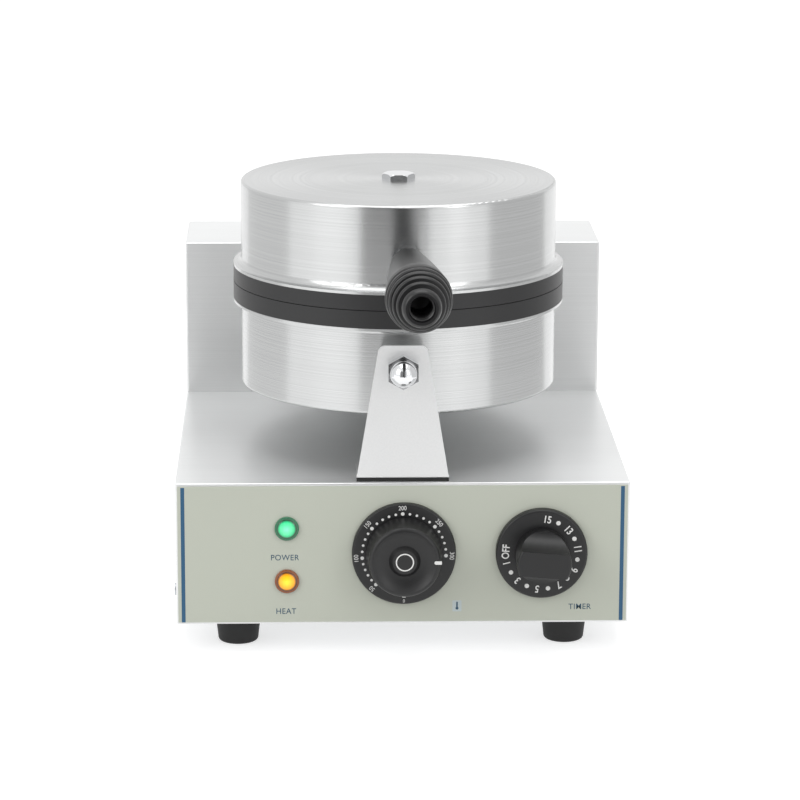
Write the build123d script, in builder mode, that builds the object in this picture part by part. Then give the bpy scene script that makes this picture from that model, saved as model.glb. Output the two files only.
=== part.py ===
from build123d import *
from math import asin, cos, degrees, hypot, radians, sin, sqrt
import os

os.makedirs("parts", exist_ok=True)

# Round waffle maker, millimetres. X is to the right, Y to the back and Z up.
# The origin is on the table, under the middle of the whole machine's box.

# Base
base_width = 260
base_depth = 301
base_height = 83.3
sheet = 1.2
bend = 1.0
lip_height = 12
foot_height = 18
foot_top_radius = 13.5
foot_bottom_radius = 11.7
foot_inset_x = 35
foot_inset_y = 28
foot_edge = 2.2
vent_length = 40
vent_width = 4
vent_pitch = 12
vent_rows = 7
wiring_slot_width = 80
wiring_slot_depth = 30
side_screw_share = 0.16
side_screw_height = 6.6
pass_through = 1

# Front film
film = 0.5
film_side_margin = 1.2
film_bottom_margin = 1.0
film_top_margin = 1.7

# Rear column
column_gap = 25.9
column_height = 96
flange = 13
cover_vent_rows = 4

# Pans and waffle plates
pan_radius = 93.1
rim_overhang = 4.6
pan_sheet = 1.5
spacer_length = 9.6
drum_clearance = 36.2
lower_pan_height = 51
upper_pan_height = 50.4
lower_rim_height = 10.3
upper_rim_height = 9.0
parting_gap = 0.4
lower_edge_radius = 1.7
upper_edge_radius = 1.7
lower_flare = 2
upper_flare = 4.1
least_edge = 0.2
plate_clearance = 0.4
plate_thickness = 17
cavity_depth = 11
cavity_inset = 1.9
cavity_draft = 2.5
groove_width = 2.4
groove_depth = 1.8
pin_base = 11
pin_taper = 12
pin_height = 8
pin_pitch = 17
pin_margin = 4
boss_radius = 9
boss_depth = 8
boss_bore_end = 2

# Heating
heater_inset = 30
heater_tube = 4
heater_gap_angle = 24
terminal_radius = 3
terminal_length = 22
clamp_margin = 14
clamp_thickness = 3
wool_margin = 4
notch_width = 62
notch_margin = 3
fit_gap = 0.1

# Fasteners
m10_radius = 5
m10_across_flats = 17
m10_low_nut = 3.2
low_nut_cap = 0.8
m10_nut = 8
nut_chamfer = 1.0
stud_chamfer = 0.8
point_up = 30
m5_radius = 2.5
m5_head_radius = 4.6
m5_head_height = 3
m5_across_flats = 8
m5_nut = 4
m4_radius = 2
m4_head_radius = 3.6
m4_head_height = 2.4
thread_clearance = 0.05
hole_clearance = 0.2

# Front bracket
bracket_plate = 2
bracket_setback = 3.2
bracket_bottom_width = 52.8
bracket_top_width = 27.2
bracket_height = 77.5
bracket_corner = 4.5
bracket_foot_depth = 30
bracket_foot_setback = 19
bracket_hole_spacing = 30
bracket_nut_height = 62.9
gasket_thickness = 1.9
stud_head = 5
stud_bite = 1.5
acorn_flange = 6
acorn_dome_radius = 7.7
acorn_height = 16

# Rear support
support_width = 44
support_height = 30
support_flange_width = 68
support_plate = 2
support_above_pan = 22
curve_clearance = 0.3
support_screw_x = 28
wire_window_depth = 8

# Hinge
hinge_back = 18
hinge_rise = 12.7
hinge_pin_radius = 4
hinge_bush_wall = 1.5
hinge_barrel_radius = 9
hinge_barrel_length = 36
hinge_side_gap = 0.3
ear_thickness = 4
ear_radius = 8.5
hinge_base_width = 76
hinge_base_depth = 30
hinge_base_plate = 3
hinge_base_corner = 3
hinge_screw_x = 31
hinge_screw_y = 9
pin_head_radius = 6
pin_head = 2
rivet_radius = 5.4
running_clearance = 0.05
arm_flange_width = 60
arm_flange_plate = 4
arm_flange_height = 28
arm_flange_lift = 10.1
arm_screw_x = 25
arm_root_inset = 1
arm_high_tangent = 40
arm_low_tangent = 20

# Handle
handle_reach = 126.7
handle_height = 27
handle_swing = 1.7
grip_tip_wall = 1.8
grip_end_radius = 7.8
grip_belly_radius = 18.4
grip_neck_radius = 10.4
grip_ridge_length = 30
grip_ridge_count = 6
grip_groove = 0.9
crest_share = 0.55
groove_share = 0.7
crest_fall = 0.2
grip_taper_power = 1.83
grip_root_edge = 1
grip_root_slope = 0.08
grip_belly_slope = 0.03
grip_swell = 4
grip_swell_share = 0.45
grip_end_hole = 7
grip_end_hole_depth = 34
grip_stud_depth = 40

# Thermostat
thermostat_x = 0.6
control_height = 42.2
dial_radius = 29.8
dial_thickness = 4.2
dial_edge = 1.2
knob_gap = 0.4
knob_radius = 22
knob_front_radius = 20.5
knob_depth = 17.5
knob_edge = 2.4
knob_dish = 3.5
knob_dish_radius = 12.7
knob_dish_rise = 0.7
knob_boss_radius = 7
knob_boss_drop = 1.2
knob_boss_flare = 2
spindle_radius = 3
spindle_hole_radius = 5
hub_hole_radius = 9
thermostat_width = 38
thermostat_height = 34
thermostat_depth = 32
control_screw_x = 14
control_screw_length = 10
body_edge = 2
capillary_radius = 1
capillary_bend = 6
capillary_x = 13
bulb_radius = 3
bulb_length = 16
bulb_inset = 4
bulb_clearance = 12

# Timer
timer_side = 50.5
timer_knob_radius = 26.3
timer_skirt = 5
timer_hub_radius = 15.5
timer_hub_depth = 24
timer_grip = 14.4
timer_grip_tilt = 5
timer_scoop_radius = 8.5
timer_scoop_floor = 7.2
timer_edge = 1.5
timer_width = 46
timer_height = 44
timer_depth = 36

# Pilot lamps
lamp_side = 63.6
power_lamp_height = 56.8
heat_lamp_height = 25.5
lens_radius = 7
lens_rim = 1.6
lens_edge = 0.6
lens_dome = 1.4
lens_dome_radius = 5.6
lens_barrel_radius = 5.8
lens_barrel_length = 9
lamp_body_radius = 7.4
lamp_body_length = 18
lamp_tab_width = 3
lamp_tab_length = 8
lamp_tab = 0.8
lamp_tab_side = 3

# Cable inlet and terminals
gland_side = 38
gland_height = 32
gland_radius = 8
gland_bore = 4.5
gland_across_flats = 22
gland_flange = 5
gland_cap_radius = 9
gland_cap = 8
gland_tail = 8
gland_edge = 2
terminal_block_width = 44
terminal_block_depth = 20
terminal_block_height = 17
terminal_setback = 60
terminal_block_edge = 1.5
terminal_hole_radius = 2
terminal_pitch = 12

# Levels and places that follow from the sizes above
rim_radius = pan_radius + rim_overhang
plate_radius = pan_radius - pan_sheet - plate_clearance
cavity_radius = plate_radius - cavity_inset
groove_radius = (cavity_radius + rim_radius) / 2
heater_radius = cavity_radius - heater_inset
clamp_radius = heater_radius + clamp_margin
insulation_radius = clamp_radius + wool_margin
bulb_distance = heater_radius - bulb_clearance
notch_start = bulb_distance - bulb_radius - notch_margin
drum_distance = bracket_setback + bracket_plate + spacer_length + fit_gap + pan_radius
column_depth = base_depth - drum_distance - pan_radius - column_gap
timer_x = base_width / 2 - timer_side
lamp_x = -base_width / 2 + lamp_side
gland_x = -base_width / 2 + gland_side
back_reach = base_depth + gland_flange + gland_cap
pan_front = drum_distance - pan_radius
handle_end = pan_front - handle_reach
front_y = -(back_reach + handle_end) / 2
back_y = front_y + base_depth
base_mid_y = (front_y + back_y) / 2
drum_y = front_y + drum_distance
column_front_y = back_y - column_depth
column_mid_y = (column_front_y + back_y) / 2
base_bottom = foot_height
base_top = base_bottom + base_height
column_top = base_top + column_height
pan_bottom = base_top + drum_clearance
lower_rim_bottom = pan_bottom + lower_pan_height
parting = lower_rim_bottom + lower_rim_height + parting_gap / 2
upper_rim_top = parting + parting_gap / 2 + upper_rim_height
pan_top = upper_rim_top + upper_pan_height
control_z = base_bottom + control_height
panel_y = front_y - film
bracket_y = front_y + bracket_setback
bracket_z = base_top + gasket_thickness
bracket_nut_z = bracket_z + bracket_nut_height
support_z = pan_bottom + support_above_pan
hinge_y = column_front_y + hinge_back
hinge_z = column_top + hinge_rise
handle_z = parting + handle_height
lower_back_z = parting - parting_gap / 2 - plate_thickness
bulb_y = drum_y + bulb_distance
bulb_z = lower_back_z + bulb_inset - bulb_length


def seat_inside(half_width):
    """Distance from the drum's axis to a flat head, half_width wide, inside the pan's wall."""
    return sqrt((pan_radius - pan_sheet) ** 2 - half_width ** 2) - fit_gap


def facing(y, x=0.0, z=0.0):
    """Plane at depth y that faces the user, with its own x to the right and y up."""
    return Plane(origin=(x, y, z), x_dir=(1, 0, 0), z_dir=(0, -1, 0))


def radial(angle, distance, z):
    """Plane on the drum's wall, facing outwards; angle is counted from the back."""
    out = (sin(radians(angle)), cos(radians(angle)), 0)
    side = (cos(radians(angle)), -sin(radians(angle)), 0)
    origin = (out[0] * distance, drum_y + out[1] * distance, z)
    return Plane(origin=origin, x_dir=side, z_dir=out)


def disc(plane, radius, depth, mode=Mode.ADD):
    """Round bar from a plane, along its normal."""
    with BuildSketch(plane) as outline:
        Circle(radius)
    extrude(outline.sketch, amount=depth, mode=mode)


def hexagon(plane, across_flats, depth, turn=0.0):
    """Hexagonal bar from a plane, along its normal."""
    with BuildSketch(plane) as outline:
        RegularPolygon(across_flats / 2, 6, major_radius=False, rotation=turn)
    extrude(outline.sketch, amount=depth)


def screw(plane, head_radius, head_height, shank_radius, length):
    """Pan-head screw: the head rises from the plane and the shank goes into it."""
    disc(plane, head_radius, head_height)
    disc(plane, shank_radius, -length)


def nut(plane, across_flats, height, hole_radius):
    """Plain nut standing on a plane."""
    with BuildSketch(plane) as outline:
        RegularPolygon(across_flats / 2, 6, major_radius=False)
        Circle(hole_radius, mode=Mode.SUBTRACT)
    extrude(outline.sketch, amount=height)


def save(builder, name):
    """Label a finished sub-part and write it."""
    builder.part.label = name
    export_step(builder.part, f"parts/{name}.step")


# Places of the fasteners
foot_x = base_width / 2 - foot_inset_x
foot_places = {
    "front_left": (-foot_x, front_y + foot_inset_y),
    "front_right": (foot_x, front_y + foot_inset_y),
    "rear_left": (-foot_x, back_y - foot_inset_y),
    "rear_right": (foot_x, back_y - foot_inset_y),
}
bracket_screw_y = bracket_y + bracket_foot_setback
bracket_screw_places = [
    (-bracket_hole_spacing / 2, bracket_screw_y),
    (bracket_hole_spacing / 2, bracket_screw_y),
]
column_screw_places = [
    (x, y)
    for x in (-base_width / 2 + sheet + flange / 2, base_width / 2 - sheet - flange / 2)
    for y in (column_front_y + sheet + flange, back_y - sheet - flange)
]
hinge_screw_places = [
    (x, hinge_y + y)
    for x in (-hinge_screw_x, hinge_screw_x)
    for y in (-hinge_screw_y, hinge_screw_y)
]
side_screw_z = base_bottom + side_screw_height
side_screw_ys = [front_y + base_depth * share for share in (side_screw_share, 1 - side_screw_share)]
cover_screw_places = [
    (x, z)
    for x in (-base_width / 2 + sheet + flange / 2, base_width / 2 - sheet - flange / 2)
    for z in (base_top + 2 * flange, column_top - 2 * flange)
]
control_screw_places = [
    (control_x + side, control_z)
    for control_x in (thermostat_x, timer_x)
    for side in (-control_screw_x, control_screw_x)
]
support_angle = degrees(asin(support_screw_x / pan_radius))
arm_angle = degrees(asin(arm_screw_x / pan_radius))
arm_flange_z = upper_rim_top + arm_flange_lift
arm_screw_z = arm_flange_z + arm_flange_height / 2
m5_hole = m5_radius + hole_clearance
m4_hole = m4_radius + hole_clearance
m10_hole = m10_radius + thread_clearance

# Base shell: one folded box, open underneath
with BuildPart() as base_shell:
    with BuildSketch(Plane.XY.offset(base_bottom)):
        with Locations((0, base_mid_y)):
            Rectangle(base_width, base_depth)
    extrude(amount=base_height)
    fillet(base_shell.edges().filter_by(Axis.Z), bend)
    fillet(base_shell.faces().sort_by(Axis.Z)[-1].edges(), bend)
    with BuildSketch(Plane.XY.offset(base_bottom)):
        with Locations((0, base_mid_y)):
            Rectangle(base_width - 2 * sheet, base_depth - 2 * sheet)
    extrude(amount=base_height - sheet, mode=Mode.SUBTRACT)
    with BuildSketch(facing(front_y)):
        with Locations((thermostat_x, control_z), (timer_x, control_z)):
            Circle(spindle_hole_radius)
        with Locations((lamp_x, base_bottom + power_lamp_height), (lamp_x, base_bottom + heat_lamp_height)):
            Circle(lens_barrel_radius + fit_gap)
        with Locations(*control_screw_places):
            Circle(m4_hole)
    extrude(amount=-sheet, mode=Mode.SUBTRACT)
    with BuildSketch(facing(back_y)):
        with Locations((gland_x, base_bottom + gland_height)):
            Circle(gland_radius + fit_gap)
    extrude(amount=sheet, mode=Mode.SUBTRACT)
    with BuildSketch(Plane.XY.offset(base_top)):
        with Locations(*bracket_screw_places):
            Circle(m5_hole)
        with Locations(*column_screw_places):
            Circle(m5_hole)
        with Locations((0, column_mid_y)):
            SlotOverall(wiring_slot_width, wiring_slot_depth)
    extrude(amount=-sheet, mode=Mode.SUBTRACT)
    with BuildSketch(Plane.YZ.offset(-base_width / 2)):
        with Locations(*[(y, side_screw_z) for y in side_screw_ys]):
            Circle(m4_hole)
    extrude(amount=base_width, mode=Mode.SUBTRACT)
save(base_shell, "base_shell")

# Printed film on the front
film_bottom = base_bottom + film_bottom_margin
film_top = base_top - film_top_margin
film_mid = (film_bottom + film_top) / 2
with BuildPart() as front_film:
    with BuildSketch(facing(front_y)):
        with Locations((0, film_mid)):
            Rectangle(base_width - 2 * film_side_margin, film_top - film_bottom)
        with Locations((thermostat_x, control_z), (timer_x, control_z)):
            Circle(spindle_hole_radius, mode=Mode.SUBTRACT)
        with Locations((lamp_x, base_bottom + power_lamp_height), (lamp_x, base_bottom + heat_lamp_height)):
            Circle(lens_barrel_radius + fit_gap, mode=Mode.SUBTRACT)
        with Locations(*control_screw_places):
            Circle(m4_hole, mode=Mode.SUBTRACT)
    extrude(amount=film)
save(front_film, "front_film")

# Base plate: a vented tray between the shell's walls, its lips screwed to the sides
tray_width = base_width - 2 * sheet
tray_depth = base_depth - 2 * sheet
with BuildPart() as base_plate:
    with BuildSketch(Plane.XY.offset(base_bottom)):
        with Locations((0, base_mid_y)):
            Rectangle(tray_width, tray_depth)
    extrude(amount=lip_height)
    with BuildSketch(Plane.XY.offset(base_bottom + sheet)):
        with Locations((0, base_mid_y)):
            Rectangle(tray_width - 2 * sheet, tray_depth - 2 * sheet)
    extrude(amount=lip_height, mode=Mode.SUBTRACT)
    with BuildSketch(Plane.XY.offset(base_bottom)):
        with Locations((0, base_mid_y)):
            with GridLocations(2 * vent_length, vent_pitch, 2, vent_rows):
                SlotOverall(vent_length, vent_width)
        with Locations(*foot_places.values()):
            Circle(m5_hole)
    extrude(amount=sheet, mode=Mode.SUBTRACT)
    with BuildSketch(Plane.YZ.offset(-base_width / 2)):
        with Locations(*[(y, side_screw_z) for y in side_screw_ys]):
            Circle(m4_radius + thread_clearance)
    extrude(amount=base_width, mode=Mode.SUBTRACT)
save(base_plate, "base_plate")

with BuildPart() as base_plate_screws:
    for side in (-1, 1):
        for screw_y in side_screw_ys:
            wall = Plane(origin=(side * base_width / 2, screw_y, side_screw_z), z_dir=(side, 0, 0))
            screw(wall, m4_head_radius, m4_head_height, m4_radius, 3 * sheet)
save(base_plate_screws, "base_plate_screws")

# Rubber feet, each with its screw up inside
recess_radius = m5_head_radius + 2 * hole_clearance
recess_depth = foot_height / 2
for place, (x, y) in foot_places.items():
    with BuildPart() as foot:
        with BuildSketch(Plane(origin=(x, y, 0), x_dir=(1, 0, 0), z_dir=(0, -1, 0))):
            with BuildLine():
                Polyline(
                    (foot_bottom_radius - foot_edge, 0),
                    (recess_radius, 0),
                    (recess_radius, recess_depth),
                    (m5_hole, recess_depth),
                    (m5_hole, foot_height),
                    (foot_top_radius, foot_height),
                    (foot_bottom_radius, foot_edge),
                )
                RadiusArc((foot_bottom_radius, foot_edge), (foot_bottom_radius - foot_edge, 0), foot_edge)
            make_face()
        revolve(axis=Axis((x, y, 0), (0, 0, 1)))
    save(foot, f"foot_{place}")

with BuildPart() as foot_screws:
    for x, y in foot_places.values():
        seat = Plane(origin=(x, y, recess_depth), z_dir=(0, 0, -1))
        screw(seat, m5_head_radius, m5_head_height, m5_radius, foot_height - recess_depth + sheet + m5_nut)
save(foot_screws, "foot_screws")

# Front bracket: a tapered plate with its foot bent back, on a gasket
with BuildPart() as bracket_gasket:
    with BuildSketch(Plane.XY.offset(base_top)):
        with Locations((0, bracket_y + bracket_foot_depth / 2)):
            Rectangle(bracket_bottom_width, bracket_foot_depth)
        with Locations(*bracket_screw_places):
            Circle(m5_hole, mode=Mode.SUBTRACT)
    extrude(amount=gasket_thickness)
save(bracket_gasket, "bracket_gasket")

with BuildPart() as support_bracket:
    with BuildSketch(facing(bracket_y + bracket_plate)) as bracket_face:
        with BuildLine():
            Polyline(
                (-bracket_bottom_width / 2, bracket_z),
                (bracket_bottom_width / 2, bracket_z),
                (bracket_top_width / 2, bracket_z + bracket_height),
                (-bracket_top_width / 2, bracket_z + bracket_height),
                close=True,
            )
        make_face()
        fillet(bracket_face.vertices().group_by(Axis.Y)[-1], bracket_corner)
        with Locations((0, bracket_nut_z)):
            Circle(m10_hole, mode=Mode.SUBTRACT)
    extrude(amount=bracket_plate)
    with BuildSketch(Plane.XY.offset(bracket_z)):
        with Locations((0, bracket_y + bracket_foot_depth / 2)):
            Rectangle(bracket_bottom_width, bracket_foot_depth)
        with Locations(*bracket_screw_places):
            Circle(m5_hole, mode=Mode.SUBTRACT)
    extrude(amount=bracket_plate)
    front_edge = support_bracket.edges().filter_by(Axis.X).group_by(Axis.Z)[0].sort_by(Axis.Y)[0]
    fillet(front_edge, bend)
save(support_bracket, "support_bracket")

with BuildPart() as bracket_screws:
    for x, y in bracket_screw_places:
        seat = Plane(origin=(x, y, bracket_z + bracket_plate), z_dir=(0, 0, 1))
        grip_length = bracket_plate + gasket_thickness + sheet + m5_nut
        screw(seat, m5_head_radius, m5_head_height, m5_radius, grip_length)
save(bracket_screws, "bracket_screws")

# Stud from inside the lower pan, spacer tube and acorn nut
m10_corner = m10_across_flats / sqrt(3)
with BuildPart() as front_stud:
    stud_face_y = drum_y - seat_inside(m10_corner)
    inner_face = facing(stud_face_y, 0, bracket_nut_z)
    hexagon(inner_face, m10_across_flats, -stud_head)
    disc(inner_face, m10_radius, stud_face_y - bracket_y + acorn_flange)
save(front_stud, "front_stud")

with BuildPart() as front_spacer:
    spacer_start = drum_y - pan_radius - fit_gap
    with BuildSketch(facing(spacer_start, 0, bracket_nut_z)):
        Circle(m10_across_flats / 2)
        Circle(m10_hole, mode=Mode.SUBTRACT)
    extrude(amount=spacer_start - bracket_y - bracket_plate)
save(front_spacer, "front_spacer")

with BuildPart() as acorn_nut:
    nut_face = facing(bracket_y, 0, bracket_nut_z)
    hexagon(nut_face, m10_across_flats, acorn_flange, point_up)
    with BuildSketch(Plane.YZ):
        dome_start = bracket_y - acorn_flange
        dome_end = bracket_y - acorn_height
        with BuildLine():
            Polyline(
                (dome_end, bracket_nut_z),
                (dome_start, bracket_nut_z),
                (dome_start, bracket_nut_z + acorn_dome_radius),
                (dome_end + acorn_dome_radius, bracket_nut_z + acorn_dome_radius),
            )
            RadiusArc(
                (dome_end + acorn_dome_radius, bracket_nut_z + acorn_dome_radius),
                (dome_end, bracket_nut_z),
                -acorn_dome_radius,
            )
        make_face()
    revolve(axis=Axis((0, bracket_y, bracket_nut_z), (0, 1, 0)))
    disc(nut_face, m10_hole, acorn_flange + fit_gap, mode=Mode.SUBTRACT)
save(acorn_nut, "acorn_nut")

# Rear column: folded shell with inward flanges, and a vented cover let in flush
column_inner = base_width - 2 * sheet
with BuildPart() as column_shell:
    with BuildSketch(Plane.XY.offset(base_top)):
        with Locations((0, column_mid_y)):
            Rectangle(base_width, column_depth)
    extrude(amount=column_height)
    fillet(column_shell.edges().filter_by(Axis.Z).group_by(Axis.Y)[0], bend)
    fillet(column_shell.faces().sort_by(Axis.Z)[-1].edges().sort_by(Axis.Y)[:-1], bend)
    hollow_z = base_top + sheet
    hollow_height = column_height - 2 * sheet
    hollow_mid_z = hollow_z + hollow_height / 2
    with BuildSketch(facing(back_y - 2 * sheet)):
        with Locations((0, hollow_mid_z)):
            Rectangle(column_inner, hollow_height)
    extrude(amount=column_depth - 3 * sheet, mode=Mode.SUBTRACT)
    with BuildSketch(facing(back_y)):
        with Locations((0, hollow_mid_z)):
            Rectangle(column_inner - 2 * flange, hollow_height - 2 * flange)
    extrude(amount=2 * sheet, mode=Mode.SUBTRACT)
    with BuildSketch(facing(back_y)):
        with Locations((0, hollow_mid_z)):
            Rectangle(column_inner, hollow_height)
    extrude(amount=sheet, mode=Mode.SUBTRACT)
    with BuildSketch(Plane.XY.offset(base_top)):
        with Locations((0, column_mid_y)):
            Rectangle(column_inner - 2 * flange, column_depth - 4 * sheet - 2 * flange)
        with Locations(*column_screw_places):
            Circle(m5_hole)
    extrude(amount=sheet, mode=Mode.SUBTRACT)
    with BuildSketch(Plane.XY.offset(column_top)):
        with Locations(*hinge_screw_places):
            Circle(m5_hole)
    extrude(amount=-sheet, mode=Mode.SUBTRACT)
    with BuildSketch(facing(column_front_y)):
        with Locations((0, support_z)):
            Rectangle(support_width - 2 * support_plate, support_height - 2 * support_plate)
        with Locations((-support_screw_x, support_z), (support_screw_x, support_z)):
            Circle(m5_hole)
    extrude(amount=-sheet, mode=Mode.SUBTRACT)
    with BuildSketch(facing(back_y)):
        with Locations(*cover_screw_places):
            Circle(m4_radius + thread_clearance)
    extrude(amount=2 * sheet, mode=Mode.SUBTRACT)
save(column_shell, "column_shell")

with BuildPart() as column_cover:
    with BuildSketch(facing(back_y - sheet)):
        with Locations((0, hollow_mid_z)):
            Rectangle(column_inner - 2 * hole_clearance, hollow_height - 2 * hole_clearance)
            with GridLocations(2 * vent_length, vent_pitch, 2, cover_vent_rows):
                SlotOverall(vent_length, vent_width, mode=Mode.SUBTRACT)
        with Locations(*cover_screw_places):
            Circle(m4_hole, mode=Mode.SUBTRACT)
    extrude(amount=-sheet)
save(column_cover, "column_cover")

with BuildPart() as cover_screws:
    for x, z in cover_screw_places:
        seat = Plane(origin=(x, back_y, z), z_dir=(0, 1, 0))
        screw(seat, m4_head_radius, m4_head_height, m4_radius, 3 * sheet)
save(cover_screws, "cover_screws")

with BuildPart() as column_screws:
    for x, y in column_screw_places:
        seat = Plane(origin=(x, y, base_top + sheet), z_dir=(0, 0, 1))
        screw(seat, m5_head_radius, m5_head_height, m5_radius, 2 * sheet + m5_nut)
    for x in (-support_screw_x, support_screw_x):
        seat = Plane(origin=(x, column_front_y - support_plate, support_z), z_dir=(0, -1, 0))
        screw(seat, m5_head_radius, m5_head_height, m5_radius, support_plate + sheet + m5_nut)
save(column_screws, "column_screws")

# Rear support: a box tube that carries the lower pan and its wires
support_start = pan_radius + curve_clearance
with BuildPart() as rear_support:
    with BuildSketch(Plane.XY.offset(support_z - support_height / 2)):
        with Locations((0, drum_y)):
            Circle(support_start + support_plate)
            Circle(support_start, mode=Mode.SUBTRACT)
        with Locations((0, drum_y + pan_radius)):
            Rectangle(support_flange_width, support_height, mode=Mode.INTERSECT)
    extrude(amount=support_height)
    with BuildSketch(Plane.XY.offset(support_z - support_height / 2)):
        with Locations((0, (drum_y + column_front_y) / 2)):
            Rectangle(support_width, column_front_y - drum_y)
        with Locations((0, column_front_y - support_plate / 2)):
            Rectangle(support_flange_width, support_plate)
        with Locations((0, drum_y)):
            Circle(support_start, mode=Mode.SUBTRACT)
    extrude(amount=support_height)
    with BuildSketch(facing(column_front_y)):
        with Locations((0, support_z)):
            Rectangle(support_width - 2 * support_plate, support_height - 2 * support_plate)
        with Locations((-support_screw_x, support_z), (support_screw_x, support_z)):
            Circle(m5_hole)
    extrude(amount=support_plate, mode=Mode.SUBTRACT)
    with BuildSketch(facing(column_front_y)):
        with Locations((0, support_z)):
            Rectangle(support_width - 2 * support_plate, support_height - 2 * support_plate)
    extrude(amount=column_front_y - drum_y, mode=Mode.SUBTRACT)
    for angle in (-support_angle, support_angle):
        disc(radial(angle, pan_radius, support_z), m5_hole, support_plate + pass_through, mode=Mode.SUBTRACT)
save(rear_support, "rear_support")

# Screws through the curved flange, with the head inside the pan
with BuildPart() as pan_screws:
    for angle in (-support_angle, support_angle):
        seat = radial(angle, seat_inside(m5_head_radius), support_z)
        disc(seat, m5_head_radius, -m5_head_height)
        disc(seat, m5_radius, pan_sheet + support_plate + m5_nut + pass_through)
save(pan_screws, "pan_screws")

# All M5 nuts of the fixed part
with BuildPart() as m5_nuts:
    m5_thread = m5_radius + thread_clearance
    for x, y in foot_places.values():
        seat = Plane(origin=(x, y, base_bottom + sheet), z_dir=(0, 0, 1))
        nut(seat, m5_across_flats, m5_nut, m5_thread)
    for x, y in bracket_screw_places + column_screw_places:
        seat = Plane(origin=(x, y, base_top - sheet), z_dir=(0, 0, -1))
        nut(seat, m5_across_flats, m5_nut, m5_thread)
    for x, y in hinge_screw_places:
        seat = Plane(origin=(x, y, column_top - sheet), z_dir=(0, 0, -1))
        nut(seat, m5_across_flats, m5_nut, m5_thread)
    for x in (-support_screw_x, support_screw_x):
        seat = Plane(origin=(x, column_front_y + sheet, support_z), z_dir=(0, 1, 0))
        nut(seat, m5_across_flats, m5_nut, m5_thread)
    for angle in (-support_angle, support_angle):
        seat = radial(angle, support_start + support_plate + fit_gap, support_z)
        nut(seat, m5_across_flats, m5_nut, m5_thread)
save(m5_nuts, "m5_nuts")


def pan_section(open_z, closed_z, flare, edge):
    """Half section of a pressed pan: open_z is its flanged mouth, closed_z its floor or roof."""
    way = 1 if closed_z > open_z else -1
    inner = pan_radius - pan_sheet
    mouth = open_z + way * pan_sheet
    turn = -way
    with BuildLine() as outline:
        Polyline(
            (0, closed_z - way * pan_sheet),
            (0, closed_z),
            (pan_radius - edge, closed_z),
        )
        RadiusArc((pan_radius - edge, closed_z), (pan_radius, closed_z - way * edge), turn * -edge)
        Line((pan_radius, closed_z - way * edge), (pan_radius, mouth + way * flare))
        RadiusArc((pan_radius, mouth + way * flare), (pan_radius + flare, mouth), turn * flare)
        Polyline(
            (pan_radius + flare, mouth),
            (rim_radius, mouth),
            (rim_radius, open_z),
            (pan_radius + flare, open_z),
        )
        RadiusArc((pan_radius + flare, open_z), (inner, mouth + way * flare), turn * -(flare + pan_sheet))
        inner_edge = max(edge - pan_sheet, least_edge)
        Line((inner, mouth + way * flare), (inner, closed_z - way * (pan_sheet + inner_edge)))
        RadiusArc(
            (inner, closed_z - way * (pan_sheet + inner_edge)),
            (inner - inner_edge, closed_z - way * pan_sheet),
            turn * inner_edge,
        )
        Line((inner - inner_edge, closed_z - way * pan_sheet), (0, closed_z - way * pan_sheet))
    make_face(outline.edges())


# Plane of the half sections, its x outwards from the drum's axis and its y up
section_plane = Plane(origin=(0, drum_y, 0), x_dir=(1, 0, 0), z_dir=(0, -1, 0))
drum_axis = Axis((0, drum_y, 0), (0, 0, 1))

with BuildPart() as lower_pan:
    with BuildSketch(section_plane):
        pan_section(lower_rim_bottom, pan_bottom, lower_flare, lower_edge_radius)
    revolve(axis=drum_axis)
    disc(Plane(origin=(0, drum_y, pan_bottom)), m10_hole, pan_sheet, mode=Mode.SUBTRACT)
    disc(radial(180, pan_radius - 2 * pan_sheet, bracket_nut_z), m10_hole, 3 * pan_sheet, mode=Mode.SUBTRACT)
    for angle in (-support_angle, support_angle):
        seat = radial(angle, pan_radius - 2 * pan_sheet, support_z)
        disc(seat, m5_hole, 3 * pan_sheet, mode=Mode.SUBTRACT)
    with BuildSketch(facing(drum_y + pan_radius + pass_through)):
        with Locations((0, support_z)):
            Rectangle(support_width - 4 * support_plate, support_height - 4 * support_plate)
    extrude(amount=wire_window_depth, mode=Mode.SUBTRACT)
save(lower_pan, "lower_pan")

handle_angle = 180 - handle_swing
with BuildPart() as upper_pan:
    with BuildSketch(section_plane):
        pan_section(upper_rim_top, pan_top, upper_flare, upper_edge_radius)
    revolve(axis=drum_axis)
    disc(Plane(origin=(0, drum_y, pan_top)), m10_hole, -pan_sheet, mode=Mode.SUBTRACT)
    handle_hole = radial(handle_angle, pan_radius - 2 * pan_sheet, handle_z)
    disc(handle_hole, m10_hole, 3 * pan_sheet, mode=Mode.SUBTRACT)
    for angle in (-arm_angle, arm_angle):
        seat = radial(angle, pan_radius - 2 * pan_sheet, arm_screw_z)
        disc(seat, m5_hole, 3 * pan_sheet, mode=Mode.SUBTRACT)
save(upper_pan, "upper_pan")


# Waffle plates: cast discs with a rim, a round cavity, pins and a heater groove behind
pin_reach = cavity_radius - cavity_draft - pin_margin
pin_half = pin_base / pin_pitch / 2
pin_steps = range(-int(pin_reach // pin_pitch) - 1, int(pin_reach // pin_pitch) + 2)
pin_places = [
    (pin_pitch * (i + 0.5), pin_pitch * (j + 0.5))
    for i in pin_steps
    for j in pin_steps
    if pin_pitch * hypot(abs(i + 0.5) + pin_half, abs(j + 0.5) + pin_half) < pin_reach
]


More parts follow.
